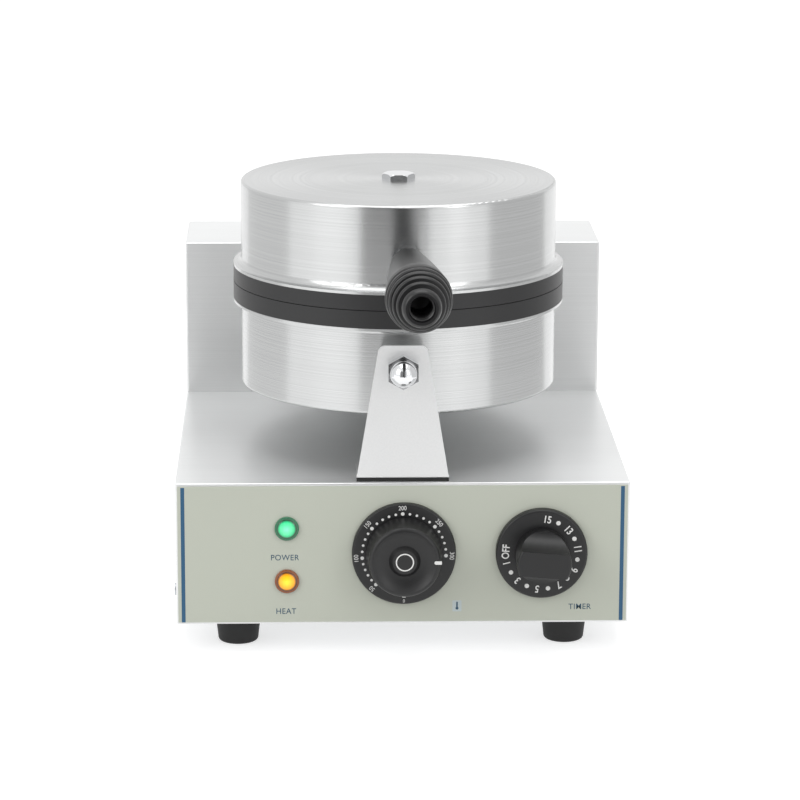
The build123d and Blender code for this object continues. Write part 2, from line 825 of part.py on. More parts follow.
def plate_section(face_z, way, rim_height, groove):
    """Half section of a waffle plate: face_z is its cooking face, way points to its back."""
    back_z = face_z + way * plate_thickness
    floor_z = face_z + way * cavity_depth
    with BuildLine() as outline:
        Polyline(
            (0, floor_z),
            (cavity_radius - cavity_draft, floor_z),
            (cavity_radius, face_z),
            (rim_radius, face_z),
            (rim_radius, face_z + way * rim_height),
            (plate_radius, face_z + way * rim_height),
            (plate_radius, back_z),
            (0, back_z),
            close=True,
        )
    make_face(outline.edges())
    with Locations((groove_radius, face_z + way * groove / 2)):
        Rectangle(groove_width, groove, mode=Mode.SUBTRACT)


for name, face_z, way, rim_height in (
    ("lower_waffle_plate", parting - parting_gap / 2, -1, lower_rim_height),
    ("upper_waffle_plate", parting + parting_gap / 2, 1, upper_rim_height),
):
    back_z = face_z + way * plate_thickness
    with BuildPart() as plate:
        with BuildSketch(section_plane):
            plate_section(face_z, way, rim_height, groove_depth)
        revolve(axis=drum_axis)
        with BuildSketch(Plane(origin=(0, drum_y, face_z + way * cavity_depth), z_dir=(0, 0, -way))):
            with Locations(*pin_places):
                Rectangle(pin_base, pin_base)
        extrude(amount=pin_height, taper=pin_taper)
        disc(Plane(origin=(0, drum_y, back_z), z_dir=(0, 0, way)), boss_radius, boss_depth)
        disc(
            Plane(origin=(0, drum_y, back_z + way * boss_depth), z_dir=(0, 0, -way)),
            m10_hole,
            boss_depth + boss_bore_end,
            mode=Mode.SUBTRACT,
        )
        with BuildSketch(section_plane):
            with Locations((heater_radius, back_z)):
                Circle(heater_tube + fit_gap)
        revolve(axis=drum_axis, mode=Mode.SUBTRACT)
        bulb_hole = Plane(origin=(thermostat_x + capillary_x, bulb_y, back_z), z_dir=(0, 0, -way))
        disc(bulb_hole, bulb_radius + fit_gap, bulb_inset + fit_gap, mode=Mode.SUBTRACT)
    save(plate, name)

# Heating, clamp, wool, stud and nut behind each plate
for half, face_z, way, shell_z in (
    ("lower", parting - parting_gap / 2, -1, pan_bottom),
    ("upper", parting + parting_gap / 2, 1, pan_top),
):
    back_z = face_z + way * plate_thickness
    clamp_z = back_z + way * (heater_tube + fit_gap)
    wool_z = clamp_z + way * (clamp_thickness + fit_gap)
    wool_end = shell_z - way * (pan_sheet + fit_gap)
    terminal_places = [
        (heater_radius * sin(radians(angle)), drum_y + heater_radius * cos(radians(angle)))
        for angle in (-heater_gap_angle, heater_gap_angle)
    ]

    with BuildPart() as heater:
        with BuildSketch(Plane(origin=(0, drum_y, back_z), x_dir=(1, 0, 0), z_dir=(0, -1, 0))):
            with Locations((heater_radius, 0)):
                Circle(heater_tube)
        revolve(axis=drum_axis, revolution_arc=360 - 2 * heater_gap_angle)
        heater_turned = heater.part.rotate(drum_axis, 90 + heater_gap_angle)
    with BuildPart() as heater:
        add(heater_turned)
        for x, y in terminal_places:
            with Locations((x, y, back_z)):
                Sphere(heater_tube)
            disc(Plane(origin=(x, y, back_z), z_dir=(0, 0, way)), terminal_radius, terminal_length)
    save(heater, f"{half}_heater")

    with BuildPart() as clamp:
        with BuildSketch(Plane(origin=(0, drum_y, clamp_z), z_dir=(0, 0, way))):
            Circle(clamp_radius)
            Circle(boss_radius + hole_clearance, mode=Mode.SUBTRACT)
        extrude(amount=clamp_thickness)
        for x, y in terminal_places + [(thermostat_x + capillary_x, bulb_y)]:
            hole = Plane(origin=(x, y, clamp_z), z_dir=(0, 0, way))
            disc(hole, heater_tube + fit_gap, clamp_thickness, mode=Mode.SUBTRACT)
    save(clamp, f"{half}_heater_clamp")

    with BuildPart() as wool:
        with BuildSketch(Plane(origin=(0, drum_y, min(wool_z, wool_end)))):
            Circle(insulation_radius)
            Circle(boss_radius + hole_clearance, mode=Mode.SUBTRACT)
            with Locations((0, notch_start + insulation_radius / 2)):
                Rectangle(notch_width, insulation_radius, mode=Mode.SUBTRACT)
        extrude(amount=abs(wool_end - wool_z))
    save(wool, f"{half}_insulation")

    with BuildPart() as stud:
        stud_start = back_z - way * stud_bite
        stud_end = shell_z + way * (m10_low_nut - low_nut_cap - hole_clearance)
        stud_length = abs(stud_end - stud_start)
        disc(Plane(origin=(0, drum_y, stud_start), z_dir=(0, 0, way)), m10_radius, stud_length)
        chamfer(stud.faces().sort_by(Axis.Z)[-1 if way > 0 else 0].edges(), stud_chamfer)
    save(stud, f"{half}_centre_stud")

    with BuildPart() as pan_nut:
        nut_seat = Plane(origin=(0, drum_y, shell_z), z_dir=(0, 0, way))
        disc(nut_seat, m10_corner, m10_low_nut)
        chamfer(pan_nut.faces().sort_by(Axis.Z)[-1 if way > 0 else 0].edges(), nut_chamfer)
        with BuildSketch(nut_seat):
            RegularPolygon(m10_across_flats / 2, 6, major_radius=False)
        extrude(amount=m10_low_nut, mode=Mode.INTERSECT)
        disc(nut_seat, m10_hole, m10_low_nut - low_nut_cap, mode=Mode.SUBTRACT)
    save(pan_nut, f"{half}_pan_nut")

# Handle: stud through the upper pan, chrome nut and ribbed grip
root_distance = pan_radius + fit_gap
with BuildPart() as handle_stud:
    inner_face = radial(handle_angle, seat_inside(m10_corner), handle_z)
    hexagon(inner_face, m10_across_flats, -stud_head)
    disc(inner_face, m10_radius, root_distance - seat_inside(m10_corner) + m10_nut + grip_stud_depth)
save(handle_stud, "handle_stud")

with BuildPart() as handle_nut:
    nut(radial(handle_angle, root_distance, handle_z), m10_across_flats, m10_nut, m10_hole)
save(handle_nut, "handle_nut")

grip_start = root_distance + m10_nut
grip_length = pan_radius + handle_reach - grip_start
ridge_pitch = grip_ridge_length / grip_ridge_count


def ridge_crest(ridge):
    """Radius of a ridge's crest; the ridges are counted from the belly to the tip."""
    share = ridge / grip_ridge_count
    return grip_belly_radius - (grip_belly_radius - grip_end_radius) * share ** grip_taper_power


with BuildPart() as handle_grip:
    grip_axis_plane = radial(handle_angle, grip_start, handle_z)
    grip_section = Plane(
        origin=grip_axis_plane.origin,
        x_dir=grip_axis_plane.z_dir,
        z_dir=grip_axis_plane.x_dir,
    )
    with BuildSketch(grip_section):
        ridge_start = grip_length - grip_ridge_length
        with BuildLine():
            Polyline(
                (0, 0),
                (0, grip_neck_radius - grip_root_edge),
                (grip_root_edge, grip_neck_radius),
            )
            Spline(
                (grip_root_edge, grip_neck_radius),
                (ridge_start * grip_swell_share, grip_neck_radius + grip_swell),
                (ridge_start, grip_belly_radius),
                tangents=[(1, grip_root_slope), (1, grip_belly_slope)],
            )
            ridge_outline = [(ridge_start, grip_belly_radius)]
            for ridge in range(grip_ridge_count):
                crest = ridge_crest(ridge)
                crest_start = ridge_start + ridge * ridge_pitch
                ridge_outline.append((crest_start + ridge_pitch * crest_share, crest - crest_fall))
                if ridge < grip_ridge_count - 1:
                    next_crest = ridge_crest(ridge + 1)
                    ridge_outline += [
                        (crest_start + ridge_pitch * groove_share, next_crest - grip_groove),
                        (crest_start + ridge_pitch, next_crest - grip_groove),
                        (crest_start + ridge_pitch, next_crest),
                    ]
            ridge_outline += [(grip_length, grip_end_hole + grip_tip_wall), (grip_length, 0), (0, 0)]
            Polyline(*ridge_outline)
        make_face()
    grip_axis = Axis(grip_axis_plane.origin, grip_axis_plane.z_dir)
    revolve(axis=grip_axis)
    disc(grip_axis_plane, m10_hole, grip_stud_depth + pass_through, mode=Mode.SUBTRACT)
    grip_end_plane = radial(handle_angle, grip_start + grip_length, handle_z)
    disc(grip_end_plane, grip_end_hole, -grip_end_hole_depth, mode=Mode.SUBTRACT)
save(handle_grip, "handle_grip")

# Hinge bracket on the column's top
ear_gap = hinge_barrel_length + 2 * hinge_side_gap
with BuildPart() as hinge_bracket:
    with BuildSketch(Plane.XY.offset(column_top)):
        with Locations((0, hinge_y)):
            RectangleRounded(hinge_base_width, hinge_base_depth, hinge_base_corner)
        with Locations(*hinge_screw_places):
            Circle(m5_hole, mode=Mode.SUBTRACT)
    extrude(amount=hinge_base_plate)
    for side in (-1, 1):
        with BuildSketch(Plane.YZ.offset(side * ear_gap / 2)):
            with Locations((hinge_y, hinge_z)):
                Circle(ear_radius)
            with Locations((hinge_y, (column_top + hinge_z) / 2)):
                Rectangle(2 * ear_radius, hinge_z - column_top)
            with Locations((hinge_y, hinge_z)):
                Circle(hinge_pin_radius + running_clearance, mode=Mode.SUBTRACT)
        extrude(amount=side * ear_thickness)
save(hinge_bracket, "hinge_bracket")

with BuildPart() as hinge_screws:
    for x, y in hinge_screw_places:
        seat = Plane(origin=(x, y, column_top + hinge_base_plate), z_dir=(0, 0, 1))
        screw(seat, m5_head_radius, m5_head_height, m5_radius, hinge_base_plate + sheet + m5_nut)
save(hinge_screws, "hinge_screws")

ear_outer = ear_gap / 2 + ear_thickness
with BuildPart() as hinge_pin:
    pin_plane = Plane(origin=(-ear_outer, hinge_y, hinge_z), z_dir=(1, 0, 0))
    disc(pin_plane, pin_head_radius, -pin_head)
    disc(pin_plane, hinge_pin_radius, 2 * ear_outer + fit_gap)
    riveted_end = Plane(origin=(ear_outer + fit_gap, hinge_y, hinge_z), z_dir=(1, 0, 0))
    disc(riveted_end, rivet_radius, pin_head)
    chamfer(hinge_pin.faces().sort_by(Axis.X)[-1].edges(), pin_head / 3)
save(hinge_pin, "hinge_pin")

bush_radius = hinge_pin_radius + running_clearance + hinge_bush_wall
with BuildPart() as hinge_bush:
    with BuildSketch(Plane(origin=(-hinge_barrel_length / 2, hinge_y, hinge_z), z_dir=(1, 0, 0))):
        Circle(bush_radius)
        Circle(hinge_pin_radius + running_clearance, mode=Mode.SUBTRACT)
    extrude(amount=hinge_barrel_length)
save(hinge_bush, "hinge_bush")

# Hinge arm: cast arm from the barrel to a curved flange on the upper pan
flange_start = pan_radius + curve_clearance
arm_wall_y = drum_y + flange_start
with BuildPart() as hinge_arm:
    with BuildSketch(Plane.YZ.offset(-hinge_barrel_length / 2)) as arm_side:
        with BuildLine():
            arm_low = arm_flange_z + arm_root_inset
            arm_high = arm_flange_z + arm_flange_height - 4 * arm_root_inset
            high_y = hinge_y + hinge_barrel_radius * sin(radians(arm_high_tangent))
            high_z = hinge_z + hinge_barrel_radius * cos(radians(arm_high_tangent))
            low_y = hinge_y - hinge_barrel_radius * sin(radians(arm_low_tangent))
            low_z = hinge_z - hinge_barrel_radius * cos(radians(arm_low_tangent))
            Polyline(
                (arm_wall_y - arm_flange_plate, arm_low),
                (arm_wall_y - arm_flange_plate, arm_high),
                (arm_wall_y + 2 * arm_flange_plate, arm_high),
                (high_y, high_z),
                (low_y, low_z),
                close=True,
            )
        make_face()
        with Locations((hinge_y, hinge_z)):
            Circle(hinge_barrel_radius)
    extrude(amount=hinge_barrel_length)
    with BuildSketch(Plane.XY.offset(arm_flange_z)):
        with Locations((0, drum_y)):
            Circle(flange_start + arm_flange_plate)
        with Locations((0, drum_y + pan_radius)):
            Rectangle(arm_flange_width, arm_flange_width, mode=Mode.INTERSECT)
    extrude(amount=arm_flange_height)
    with BuildSketch(Plane.XY.offset(arm_flange_z - pass_through)):
        with Locations((0, drum_y)):
            Circle(flange_start)
    extrude(amount=arm_flange_height + 2 * pass_through, mode=Mode.SUBTRACT)
    disc(
        Plane(origin=(-hinge_barrel_length / 2, hinge_y, hinge_z), z_dir=(1, 0, 0)),
        bush_radius + running_clearance,
        hinge_barrel_length,
        mode=Mode.SUBTRACT,
    )
    for angle in (-arm_angle, arm_angle):
        tapped = radial(angle, pan_radius, arm_screw_z)
        disc(tapped, m5_radius + thread_clearance, 2 * arm_flange_plate, mode=Mode.SUBTRACT)
save(hinge_arm, "hinge_arm")

with BuildPart() as arm_screws:
    for angle in (-arm_angle, arm_angle):
        seat = radial(angle, seat_inside(m5_head_radius), arm_screw_z)
        disc(seat, m5_head_radius, -m5_head_height)
        disc(seat, m5_radius, pan_sheet + 2 * fit_gap + arm_flange_plate)
save(arm_screws, "arm_screws")

# Thermostat: body behind the panel, fixed dial, spindle and turning knob
panel_inside = front_y + sheet
dial_front = panel_y - dial_thickness
knob_back = dial_front - knob_gap
with BuildPart() as thermostat_body:
    with BuildSketch(facing(panel_inside)):
        with Locations((thermostat_x, control_z)):
            Rectangle(thermostat_width, thermostat_height)
    extrude(amount=-thermostat_depth)
    fillet(thermostat_body.edges().filter_by(Axis.Y), body_edge)
    spindle_bore = facing(panel_inside, thermostat_x, control_z)
    disc(spindle_bore, spindle_radius + running_clearance, -thermostat_depth / 2, mode=Mode.SUBTRACT)
    for side in (-control_screw_x, control_screw_x):
        hole = facing(panel_inside, thermostat_x + side, control_z)
        disc(hole, m4_radius + thread_clearance, -control_screw_length, mode=Mode.SUBTRACT)
save(thermostat_body, "thermostat_body")

with BuildPart() as thermostat_dial:
    disc(facing(panel_y, thermostat_x, control_z), dial_radius, dial_thickness)
    fillet(thermostat_dial.faces().sort_by(Axis.Y)[0].edges(), dial_edge)
    disc(facing(panel_y, thermostat_x, control_z), hub_hole_radius, dial_thickness, mode=Mode.SUBTRACT)
    for side in (-control_screw_x, control_screw_x):
        hole = facing(panel_y, thermostat_x + side, control_z)
        disc(hole, m4_hole, dial_thickness, mode=Mode.SUBTRACT)
        recess = facing(dial_front, thermostat_x + side, control_z)
        disc(recess, m4_head_radius + hole_clearance, -m4_head_height - fit_gap, mode=Mode.SUBTRACT)
save(thermostat_dial, "thermostat_dial")

# Screws of both controls: through the dial on one, under the knob on the other
with BuildPart() as control_screws:
    for side in (-control_screw_x, control_screw_x):
        seat = facing(dial_front + m4_head_height + fit_gap, thermostat_x + side, control_z)
        screw(seat, m4_head_radius, m4_head_height, m4_radius, control_screw_length)
        seat = facing(panel_y, timer_x + side, control_z)
        screw(seat, m4_head_radius, m4_head_height, m4_radius, control_screw_length)
save(control_screws, "control_screws")

with BuildPart() as thermostat_spindle:
    spindle_end = panel_inside + thermostat_depth / 2 - hole_clearance
    spindle_length = spindle_end - knob_back + knob_depth / 2
    disc(facing(spindle_end, thermostat_x, control_z), spindle_radius, spindle_length)
save(thermostat_spindle, "thermostat_spindle")

with BuildPart() as thermostat_knob:
    with BuildSketch(Plane(origin=(thermostat_x, knob_back, control_z), x_dir=(1, 0, 0), z_dir=(0, 0, -1))):
        # this plane's x is outwards and its y towards the user
        with BuildLine():
            Polyline(
                (0, 0),
                (knob_radius, 0),
                (knob_front_radius, knob_depth - knob_edge),
            )
            RadiusArc(
                (knob_front_radius, knob_depth - knob_edge),
                (knob_front_radius - knob_edge, knob_depth),
                -knob_edge,
            )
            ThreePointArc(
                (knob_front_radius - knob_edge, knob_depth),
                (knob_dish_radius, knob_depth - knob_dish + knob_dish_rise),
                (knob_boss_radius + knob_boss_flare, knob_depth - knob_dish),
            )
            Polyline(
                (knob_boss_radius + knob_boss_flare, knob_depth - knob_dish),
                (knob_boss_radius, knob_depth - knob_boss_drop),
                (0, knob_depth - knob_boss_drop),
                (0, 0),
            )
        make_face()
    revolve(axis=Axis((thermostat_x, 0, control_z), (0, 1, 0)))
    knob_bore_depth = knob_depth / 2 + fit_gap
    knob_bore = facing(knob_back, thermostat_x, control_z)
    disc(knob_bore, spindle_radius + thread_clearance, knob_bore_depth, mode=Mode.SUBTRACT)
save(thermostat_knob, "thermostat_knob")

# Capillary: from the thermostat back into the column and through the support to the plate
capillary_start = (thermostat_x + capillary_x, panel_inside + thermostat_depth, control_z)
with BuildPart() as thermostat_capillary:
    with BuildLine() as capillary_path:
        FilletPolyline(
            capillary_start,
            (capillary_start[0], column_mid_y, control_z),
            (capillary_start[0], column_mid_y, support_z),
            (capillary_start[0], bulb_y, support_z),
            (capillary_start[0], bulb_y, bulb_z),
            radius=capillary_bend,
        )
    with BuildSketch(Plane(origin=capillary_start, z_dir=(0, 1, 0))):
        Circle(capillary_radius)
    sweep(path=capillary_path.line)
    disc(Plane(origin=(capillary_start[0], bulb_y, bulb_z)), bulb_radius, bulb_length)
save(thermostat_capillary, "thermostat_capillary")

# Timer: body, spindle and one moulded knob with a grip bar
skirt_back = panel_y - knob_gap
hub_back = skirt_back - timer_skirt
with BuildPart() as timer_body:
    with BuildSketch(facing(panel_inside)):
        with Locations((timer_x, control_z)):
            Rectangle(timer_width, timer_height)
    extrude(amount=-timer_depth)
    fillet(timer_body.edges().filter_by(Axis.Y), body_edge)
    spindle_bore = facing(panel_inside, timer_x, control_z)
    disc(spindle_bore, spindle_radius + running_clearance, -timer_depth / 2, mode=Mode.SUBTRACT)
    for side in (-control_screw_x, control_screw_x):
        hole = facing(panel_inside, timer_x + side, control_z)
        disc(hole, m4_radius + thread_clearance, -control_screw_length, mode=Mode.SUBTRACT)
save(timer_body, "timer_body")

with BuildPart() as timer_spindle:
    spindle_end = panel_inside + timer_depth / 2 - hole_clearance
    spindle_length = spindle_end - hub_back + timer_hub_depth / 2
    disc(facing(spindle_end, timer_x, control_z), spindle_radius, spindle_length)
save(timer_spindle, "timer_spindle")

with BuildPart() as timer_knob:
    disc(facing(skirt_back, timer_x, control_z), timer_knob_radius, timer_skirt)
    fillet(timer_knob.faces().sort_by(Axis.Y)[0].edges(), timer_edge)
    disc(facing(hub_back, timer_x, control_z), timer_hub_radius, timer_hub_depth)
    fillet(timer_knob.faces().sort_by(Axis.Y)[0].edges(), timer_edge)
    scoop_offset = timer_grip / 2 + timer_scoop_radius
    hub_front = hub_back - timer_hub_depth
    bar_way = (cos(radians(timer_grip_tilt)), 0, -sin(radians(timer_grip_tilt)))
    with BuildSketch(Plane(origin=(timer_x, hub_front, control_z), x_dir=(0, 1, 0), z_dir=bar_way)):
        with Locations((0, -scoop_offset), (0, scoop_offset)):
            Ellipse(timer_hub_depth - timer_scoop_floor, timer_scoop_radius)
    extrude(amount=timer_hub_radius + pass_through, both=True, mode=Mode.SUBTRACT)
    recess_radius = control_screw_x + m4_head_radius + hole_clearance
    recess_reach = m4_head_height + 2 * fit_gap
    disc(facing(skirt_back, timer_x, control_z), recess_radius, recess_reach, mode=Mode.SUBTRACT)
    hub_bore = facing(skirt_back, timer_x, control_z)
    bore_depth = timer_skirt + timer_hub_depth / 2 + fit_gap
    disc(hub_bore, spindle_radius + thread_clearance, bore_depth, mode=Mode.SUBTRACT)
save(timer_knob, "timer_knob")

# Pilot lamps
for name, height in (("power", power_lamp_height), ("heat", heat_lamp_height)):
    lamp_z = base_bottom + height
    with BuildPart() as lens:
        disc(facing(panel_y, lamp_x, lamp_z), lens_radius, lens_rim)
        fillet(lens.faces().sort_by(Axis.Y)[0].edges(), lens_edge)
        lens_face = (lamp_x, panel_y - lens_rim, lamp_z)
        with BuildSketch(Plane(origin=lens_face, x_dir=(1, 0, 0), z_dir=(0, 0, -1))):
            with BuildLine():
                Polyline((0, lens_dome), (0, 0), (lens_dome_radius, 0))
                sphere_radius = (lens_dome_radius ** 2 + lens_dome ** 2) / (2 * lens_dome)
                RadiusArc((lens_dome_radius, 0), (0, lens_dome), -sphere_radius)
            make_face()
        revolve(axis=Axis((lamp_x, 0, lamp_z), (0, 1, 0)))
        disc(facing(panel_y, lamp_x, lamp_z), lens_barrel_radius, -lens_barrel_length)
    save(lens, f"{name}_lamp_lens")

    with BuildPart() as lamp_body:
        disc(facing(panel_inside, lamp_x, lamp_z), lamp_body_radius, -lamp_body_length)
        disc(
            facing(panel_inside, lamp_x, lamp_z),
            lens_barrel_radius + fit_gap,
            -(lens_barrel_length - film - sheet + fit_gap),
            mode=Mode.SUBTRACT,
        )
        with BuildSketch(facing(panel_inside + lamp_body_length, lamp_x, lamp_z)):
            with Locations((-lamp_tab_side, 0), (lamp_tab_side, 0)):
                Rectangle(lamp_tab, lamp_tab_width)
        extrude(amount=-lamp_tab_length)
    save(lamp_body, f"{name}_lamp_body")

# Terminal block on the base plate and cable gland in the rear wall
terminal_x = gland_x + terminal_block_width / 2
terminal_y = back_y - terminal_setback
with BuildPart() as terminal_block:
    with BuildSketch(Plane.XY.offset(base_bottom + sheet)):
        with Locations((terminal_x, terminal_y)):
            Rectangle(terminal_block_width, terminal_block_depth)
    extrude(amount=terminal_block_height)
    fillet(terminal_block.edges().filter_by(Axis.Z), terminal_block_edge)
    with BuildSketch(Plane.XY.offset(base_bottom + sheet + terminal_block_height)):
        with Locations((terminal_x, terminal_y)):
            with GridLocations(terminal_pitch, terminal_block_depth / 2, 3, 2):
                Circle(terminal_hole_radius)
    extrude(amount=-terminal_block_height / 2, mode=Mode.SUBTRACT)
save(terminal_block, "terminal_block")

gland_z = base_bottom + gland_height
with BuildPart() as cable_gland:
    outside = Plane(origin=(gland_x, back_y, gland_z), z_dir=(0, 1, 0))
    hexagon(outside, gland_across_flats, gland_flange)
    disc(outside, gland_radius, -(sheet + gland_tail))
    cap_plane = Plane(origin=(gland_x, back_y + gland_flange, gland_z), z_dir=(0, 1, 0))
    disc(cap_plane, gland_cap_radius, gland_cap)
    fillet(cable_gland.faces().sort_by(Axis.Y)[-1].edges(), gland_edge)
    bore_plane = Plane(origin=(gland_x, back_y + gland_flange + gland_cap, gland_z), z_dir=(0, -1, 0))
    disc(bore_plane, gland_bore, gland_cap + gland_flange + sheet + gland_tail, mode=Mode.SUBTRACT)
save(cable_gland, "cable_gland")
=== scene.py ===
from math import cos, pi, radians, sin, tan

import bpy
from mathutils import Matrix, Vector


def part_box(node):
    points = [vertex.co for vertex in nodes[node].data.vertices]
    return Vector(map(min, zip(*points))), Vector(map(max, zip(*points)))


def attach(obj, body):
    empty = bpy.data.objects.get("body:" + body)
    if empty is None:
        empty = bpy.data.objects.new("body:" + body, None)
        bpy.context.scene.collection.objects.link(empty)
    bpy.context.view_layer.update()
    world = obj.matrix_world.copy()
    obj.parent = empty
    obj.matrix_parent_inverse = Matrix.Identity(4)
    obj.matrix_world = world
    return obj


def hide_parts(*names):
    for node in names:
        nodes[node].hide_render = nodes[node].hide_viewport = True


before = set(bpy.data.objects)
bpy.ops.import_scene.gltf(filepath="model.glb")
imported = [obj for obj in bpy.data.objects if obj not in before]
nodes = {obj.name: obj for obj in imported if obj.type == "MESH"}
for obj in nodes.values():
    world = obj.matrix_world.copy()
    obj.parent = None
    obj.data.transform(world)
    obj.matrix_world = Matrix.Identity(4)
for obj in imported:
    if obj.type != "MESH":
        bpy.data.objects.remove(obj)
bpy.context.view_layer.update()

mm = 0.001

# Places read from the frame, in millimetres


def corners(node):
    """Lowest and highest corner of a node in millimetres."""
    low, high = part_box(node)
    return low / mm, high / mm


panel_bottom = corners("base_shell")[0].z
film_face = corners("front_film")[0].y
dial_low, dial_high = corners("thermostat_dial")
dial_x = (dial_low.x + dial_high.x) / 2
dial_z = (dial_low.z + dial_high.z) / 2
dial_face = dial_low.y
cap_face = corners("thermostat_knob")[0].y
timer_low, timer_high = corners("timer_knob")
timer_x = (timer_low.x + timer_high.x) / 2
timer_z = (timer_low.z + timer_high.z) / 2
pan_low, pan_high = corners("upper_pan")
drum_y = (pan_low.y + pan_high.y) / 2
grip_low, grip_high = corners("handle_grip")


# Colours and materials; noise and wave scales are per millimetre


def srgb(code):
    """Linear colour of an sRGB hex value."""
    parts = [int(code[i:i + 2], 16) / 255 for i in (0, 2, 4)]
    return [p / 12.92 if p <= 0.04045 else ((p + 0.055) / 1.055) ** 2.4 for p in parts] + [1.0]


def add(tree, kind, inputs=None, **settings):
    """Adds a node with its settings; each input is a value or another node's output."""
    made = tree.nodes.new(kind)
    for name, value in settings.items():
        setattr(made, name, value)
    for name, value in (inputs or {}).items():
        if isinstance(value, bpy.types.NodeSocket):
            tree.links.new(value, made.inputs[name])
        else:
            made.inputs[name].default_value = value
    return made


def start(name, **sockets):
    """A new material: its tree, its shader and its Object coordinates in millimetres."""
    made = bpy.data.materials.new(name)
    made.use_nodes = True
    tree = made.node_tree
    shader = tree.nodes["Principled BSDF"]
    for socket, value in sockets.items():
        shader.inputs[socket.replace("_", " ")].default_value = value
    place = add(tree, "ShaderNodeTexCoord")
    scaled = add(tree, "ShaderNodeMapping", {"Vector": place.outputs["Object"], "Scale": (1000, 1000, 1000)})
    return made, tree, shader, scaled.outputs["Vector"]


def steel_sheet():
    # Hairline-brushed 304 sheet: fine lines from left to right, light smeared across them, and a pale
    # haze from the brushing that lifts the shade
    made, tree, shader, place = start("brushed_stainless_sheet", Metallic=0.8, Roughness=0.34,
                                      Anisotropic=0.55)
    # hairlines are 0.1 mm apart in life; 0.5 mm is what shows here
    line_spacing = 0.5
    across_lines = 1 / line_spacing
    along_lines = 0.012
    stretched = add(tree, "ShaderNodeMapping", {"Vector": place,
                                                "Scale": (along_lines, across_lines, across_lines)})
    lines = add(tree, "ShaderNodeTexNoise", {"Vector": stretched.outputs[0], "Scale": 1.0, "Detail": 3.0})
    clouds = add(tree, "ShaderNodeTexNoise", {"Vector": place, "Scale": 0.012, "Detail": 2.0})
    both = add(tree, "ShaderNodeMath", {0: lines.outputs["Fac"], 1: clouds.outputs["Fac"]}, operation="ADD")
    mean = add(tree, "ShaderNodeMath", {0: both.outputs[0], 1: 0.5}, operation="MULTIPLY")
    tint = add(tree, "ShaderNodeValToRGB", {"Fac": mean.outputs[0]})
    tint.color_ramp.elements[0].position = 0.3
    tint.color_ramp.elements[0].color = srgb("E2E3E3")
    tint.color_ramp.elements[1].position = 0.7
    tint.color_ramp.elements[1].color = srgb("EBECEC")
    tree.links.new(tint.outputs["Color"], shader.inputs["Base Color"])
    wear = add(tree, "ShaderNodeMapRange", {"Value": lines.outputs["Fac"], "To Min": 0.34, "To Max": 0.43})
    tree.links.new(wear.outputs[0], shader.inputs["Roughness"])
    grain = add(tree, "ShaderNodeBump", {"Height": lines.outputs["Fac"], "Strength": 0.03,
                                         "Distance": 0.1 * mm})
    tree.links.new(grain.outputs[0], shader.inputs["Normal"])
    along = add(tree, "ShaderNodeCombineXYZ", {"Y": 1.0, "Z": 0.05})
    tree.links.new(along.outputs[0], shader.inputs["Tangent"])
    return made


def spun_steel():
    # Stainless pressed on a form and brushed while it turns: rings round the axis, light smeared up the wall
    made, tree, shader, place = start("spun_stainless_steel", Metallic=1.0, Roughness=0.26, Anisotropic=0.7)
    shader.inputs["Anisotropic Rotation"].default_value = 0.25
    centred = add(tree, "ShaderNodeMapping", {"Vector": place, "Location": (0, -drum_y, 0)})
    split = add(tree, "ShaderNodeSeparateXYZ", {"Vector": centred.outputs[0]})
    squares = [add(tree, "ShaderNodeMath", {0: split.outputs[i], 1: 2.0}, operation="POWER") for i in (0, 1)]
    total = add(tree, "ShaderNodeMath", {0: squares[0].outputs[0], 1: squares[1].outputs[0]}, operation="ADD")
    radius = add(tree, "ShaderNodeMath", {0: total.outputs[0]}, operation="SQRT")
    # rings 0.1 mm apart in life; 0.6 mm shows
    ring_place = add(tree, "ShaderNodeCombineXYZ", {"X": radius.outputs[0], "Y": split.outputs["Z"]})
    rings = add(tree, "ShaderNodeTexNoise", {"Vector": ring_place.outputs[0], "Scale": 1.7, "Detail": 3.0})
    tint = add(tree, "ShaderNodeValToRGB", {"Fac": rings.outputs["Fac"]})
    tint.color_ramp.elements[0].position = 0.3
    tint.color_ramp.elements[0].color = srgb("BFC0C0")
    tint.color_ramp.elements[1].position = 0.7
    tint.color_ramp.elements[1].color = srgb("CCCDCD")
    tree.links.new(tint.outputs["Color"], shader.inputs["Base Color"])
    grain = add(tree, "ShaderNodeBump", {"Height": rings.outputs["Fac"], "Strength": 0.06,
                                         "Distance": 0.1 * mm})
    tree.links.new(grain.outputs[0], shader.inputs["Normal"])
    return made


def satin_steel():
    # Tumbled stainless plate: an even pale sheen with hardly any lines
    made, tree, shader, place = start("tumbled_stainless_plate", Metallic=1.0, Roughness=0.5)
    clouds = add(tree, "ShaderNodeTexNoise", {"Vector": place, "Scale": 0.9, "Detail": 4.0})
    tint = add(tree, "ShaderNodeValToRGB", {"Fac": clouds.outputs["Fac"]})
    tint.color_ramp.elements[0].color = srgb("E2E3E3")
    tint.color_ramp.elements[1].color = srgb("ECECEC")
    tree.links.new(tint.outputs["Color"], shader.inputs["Base Color"])
    grain = add(tree, "ShaderNodeBump", {"Height": clouds.outputs["Fac"], "Strength": 0.04,
                                         "Distance": 0.2 * mm})
    tree.links.new(grain.outputs[0], shader.inputs["Normal"])
    return made


def chrome():
    # Nickel-chrome plate: a mirror, a little dulled by handling
    made, tree, shader, place = start("bright_chrome_plate", Metallic=1.0, Roughness=0.08)
    shader.inputs["Base Color"].default_value = srgb("E3E4E6")
    smears = add(tree, "ShaderNodeTexNoise", {"Vector": place, "Scale": 0.4, "Detail": 4.0})
    dull = add(tree, "ShaderNodeMapRange", {"Value": smears.outputs["Fac"], "To Min": 0.04, "To Max": 0.15})
    tree.links.new(dull.outputs[0], shader.inputs["Roughness"])
    return made


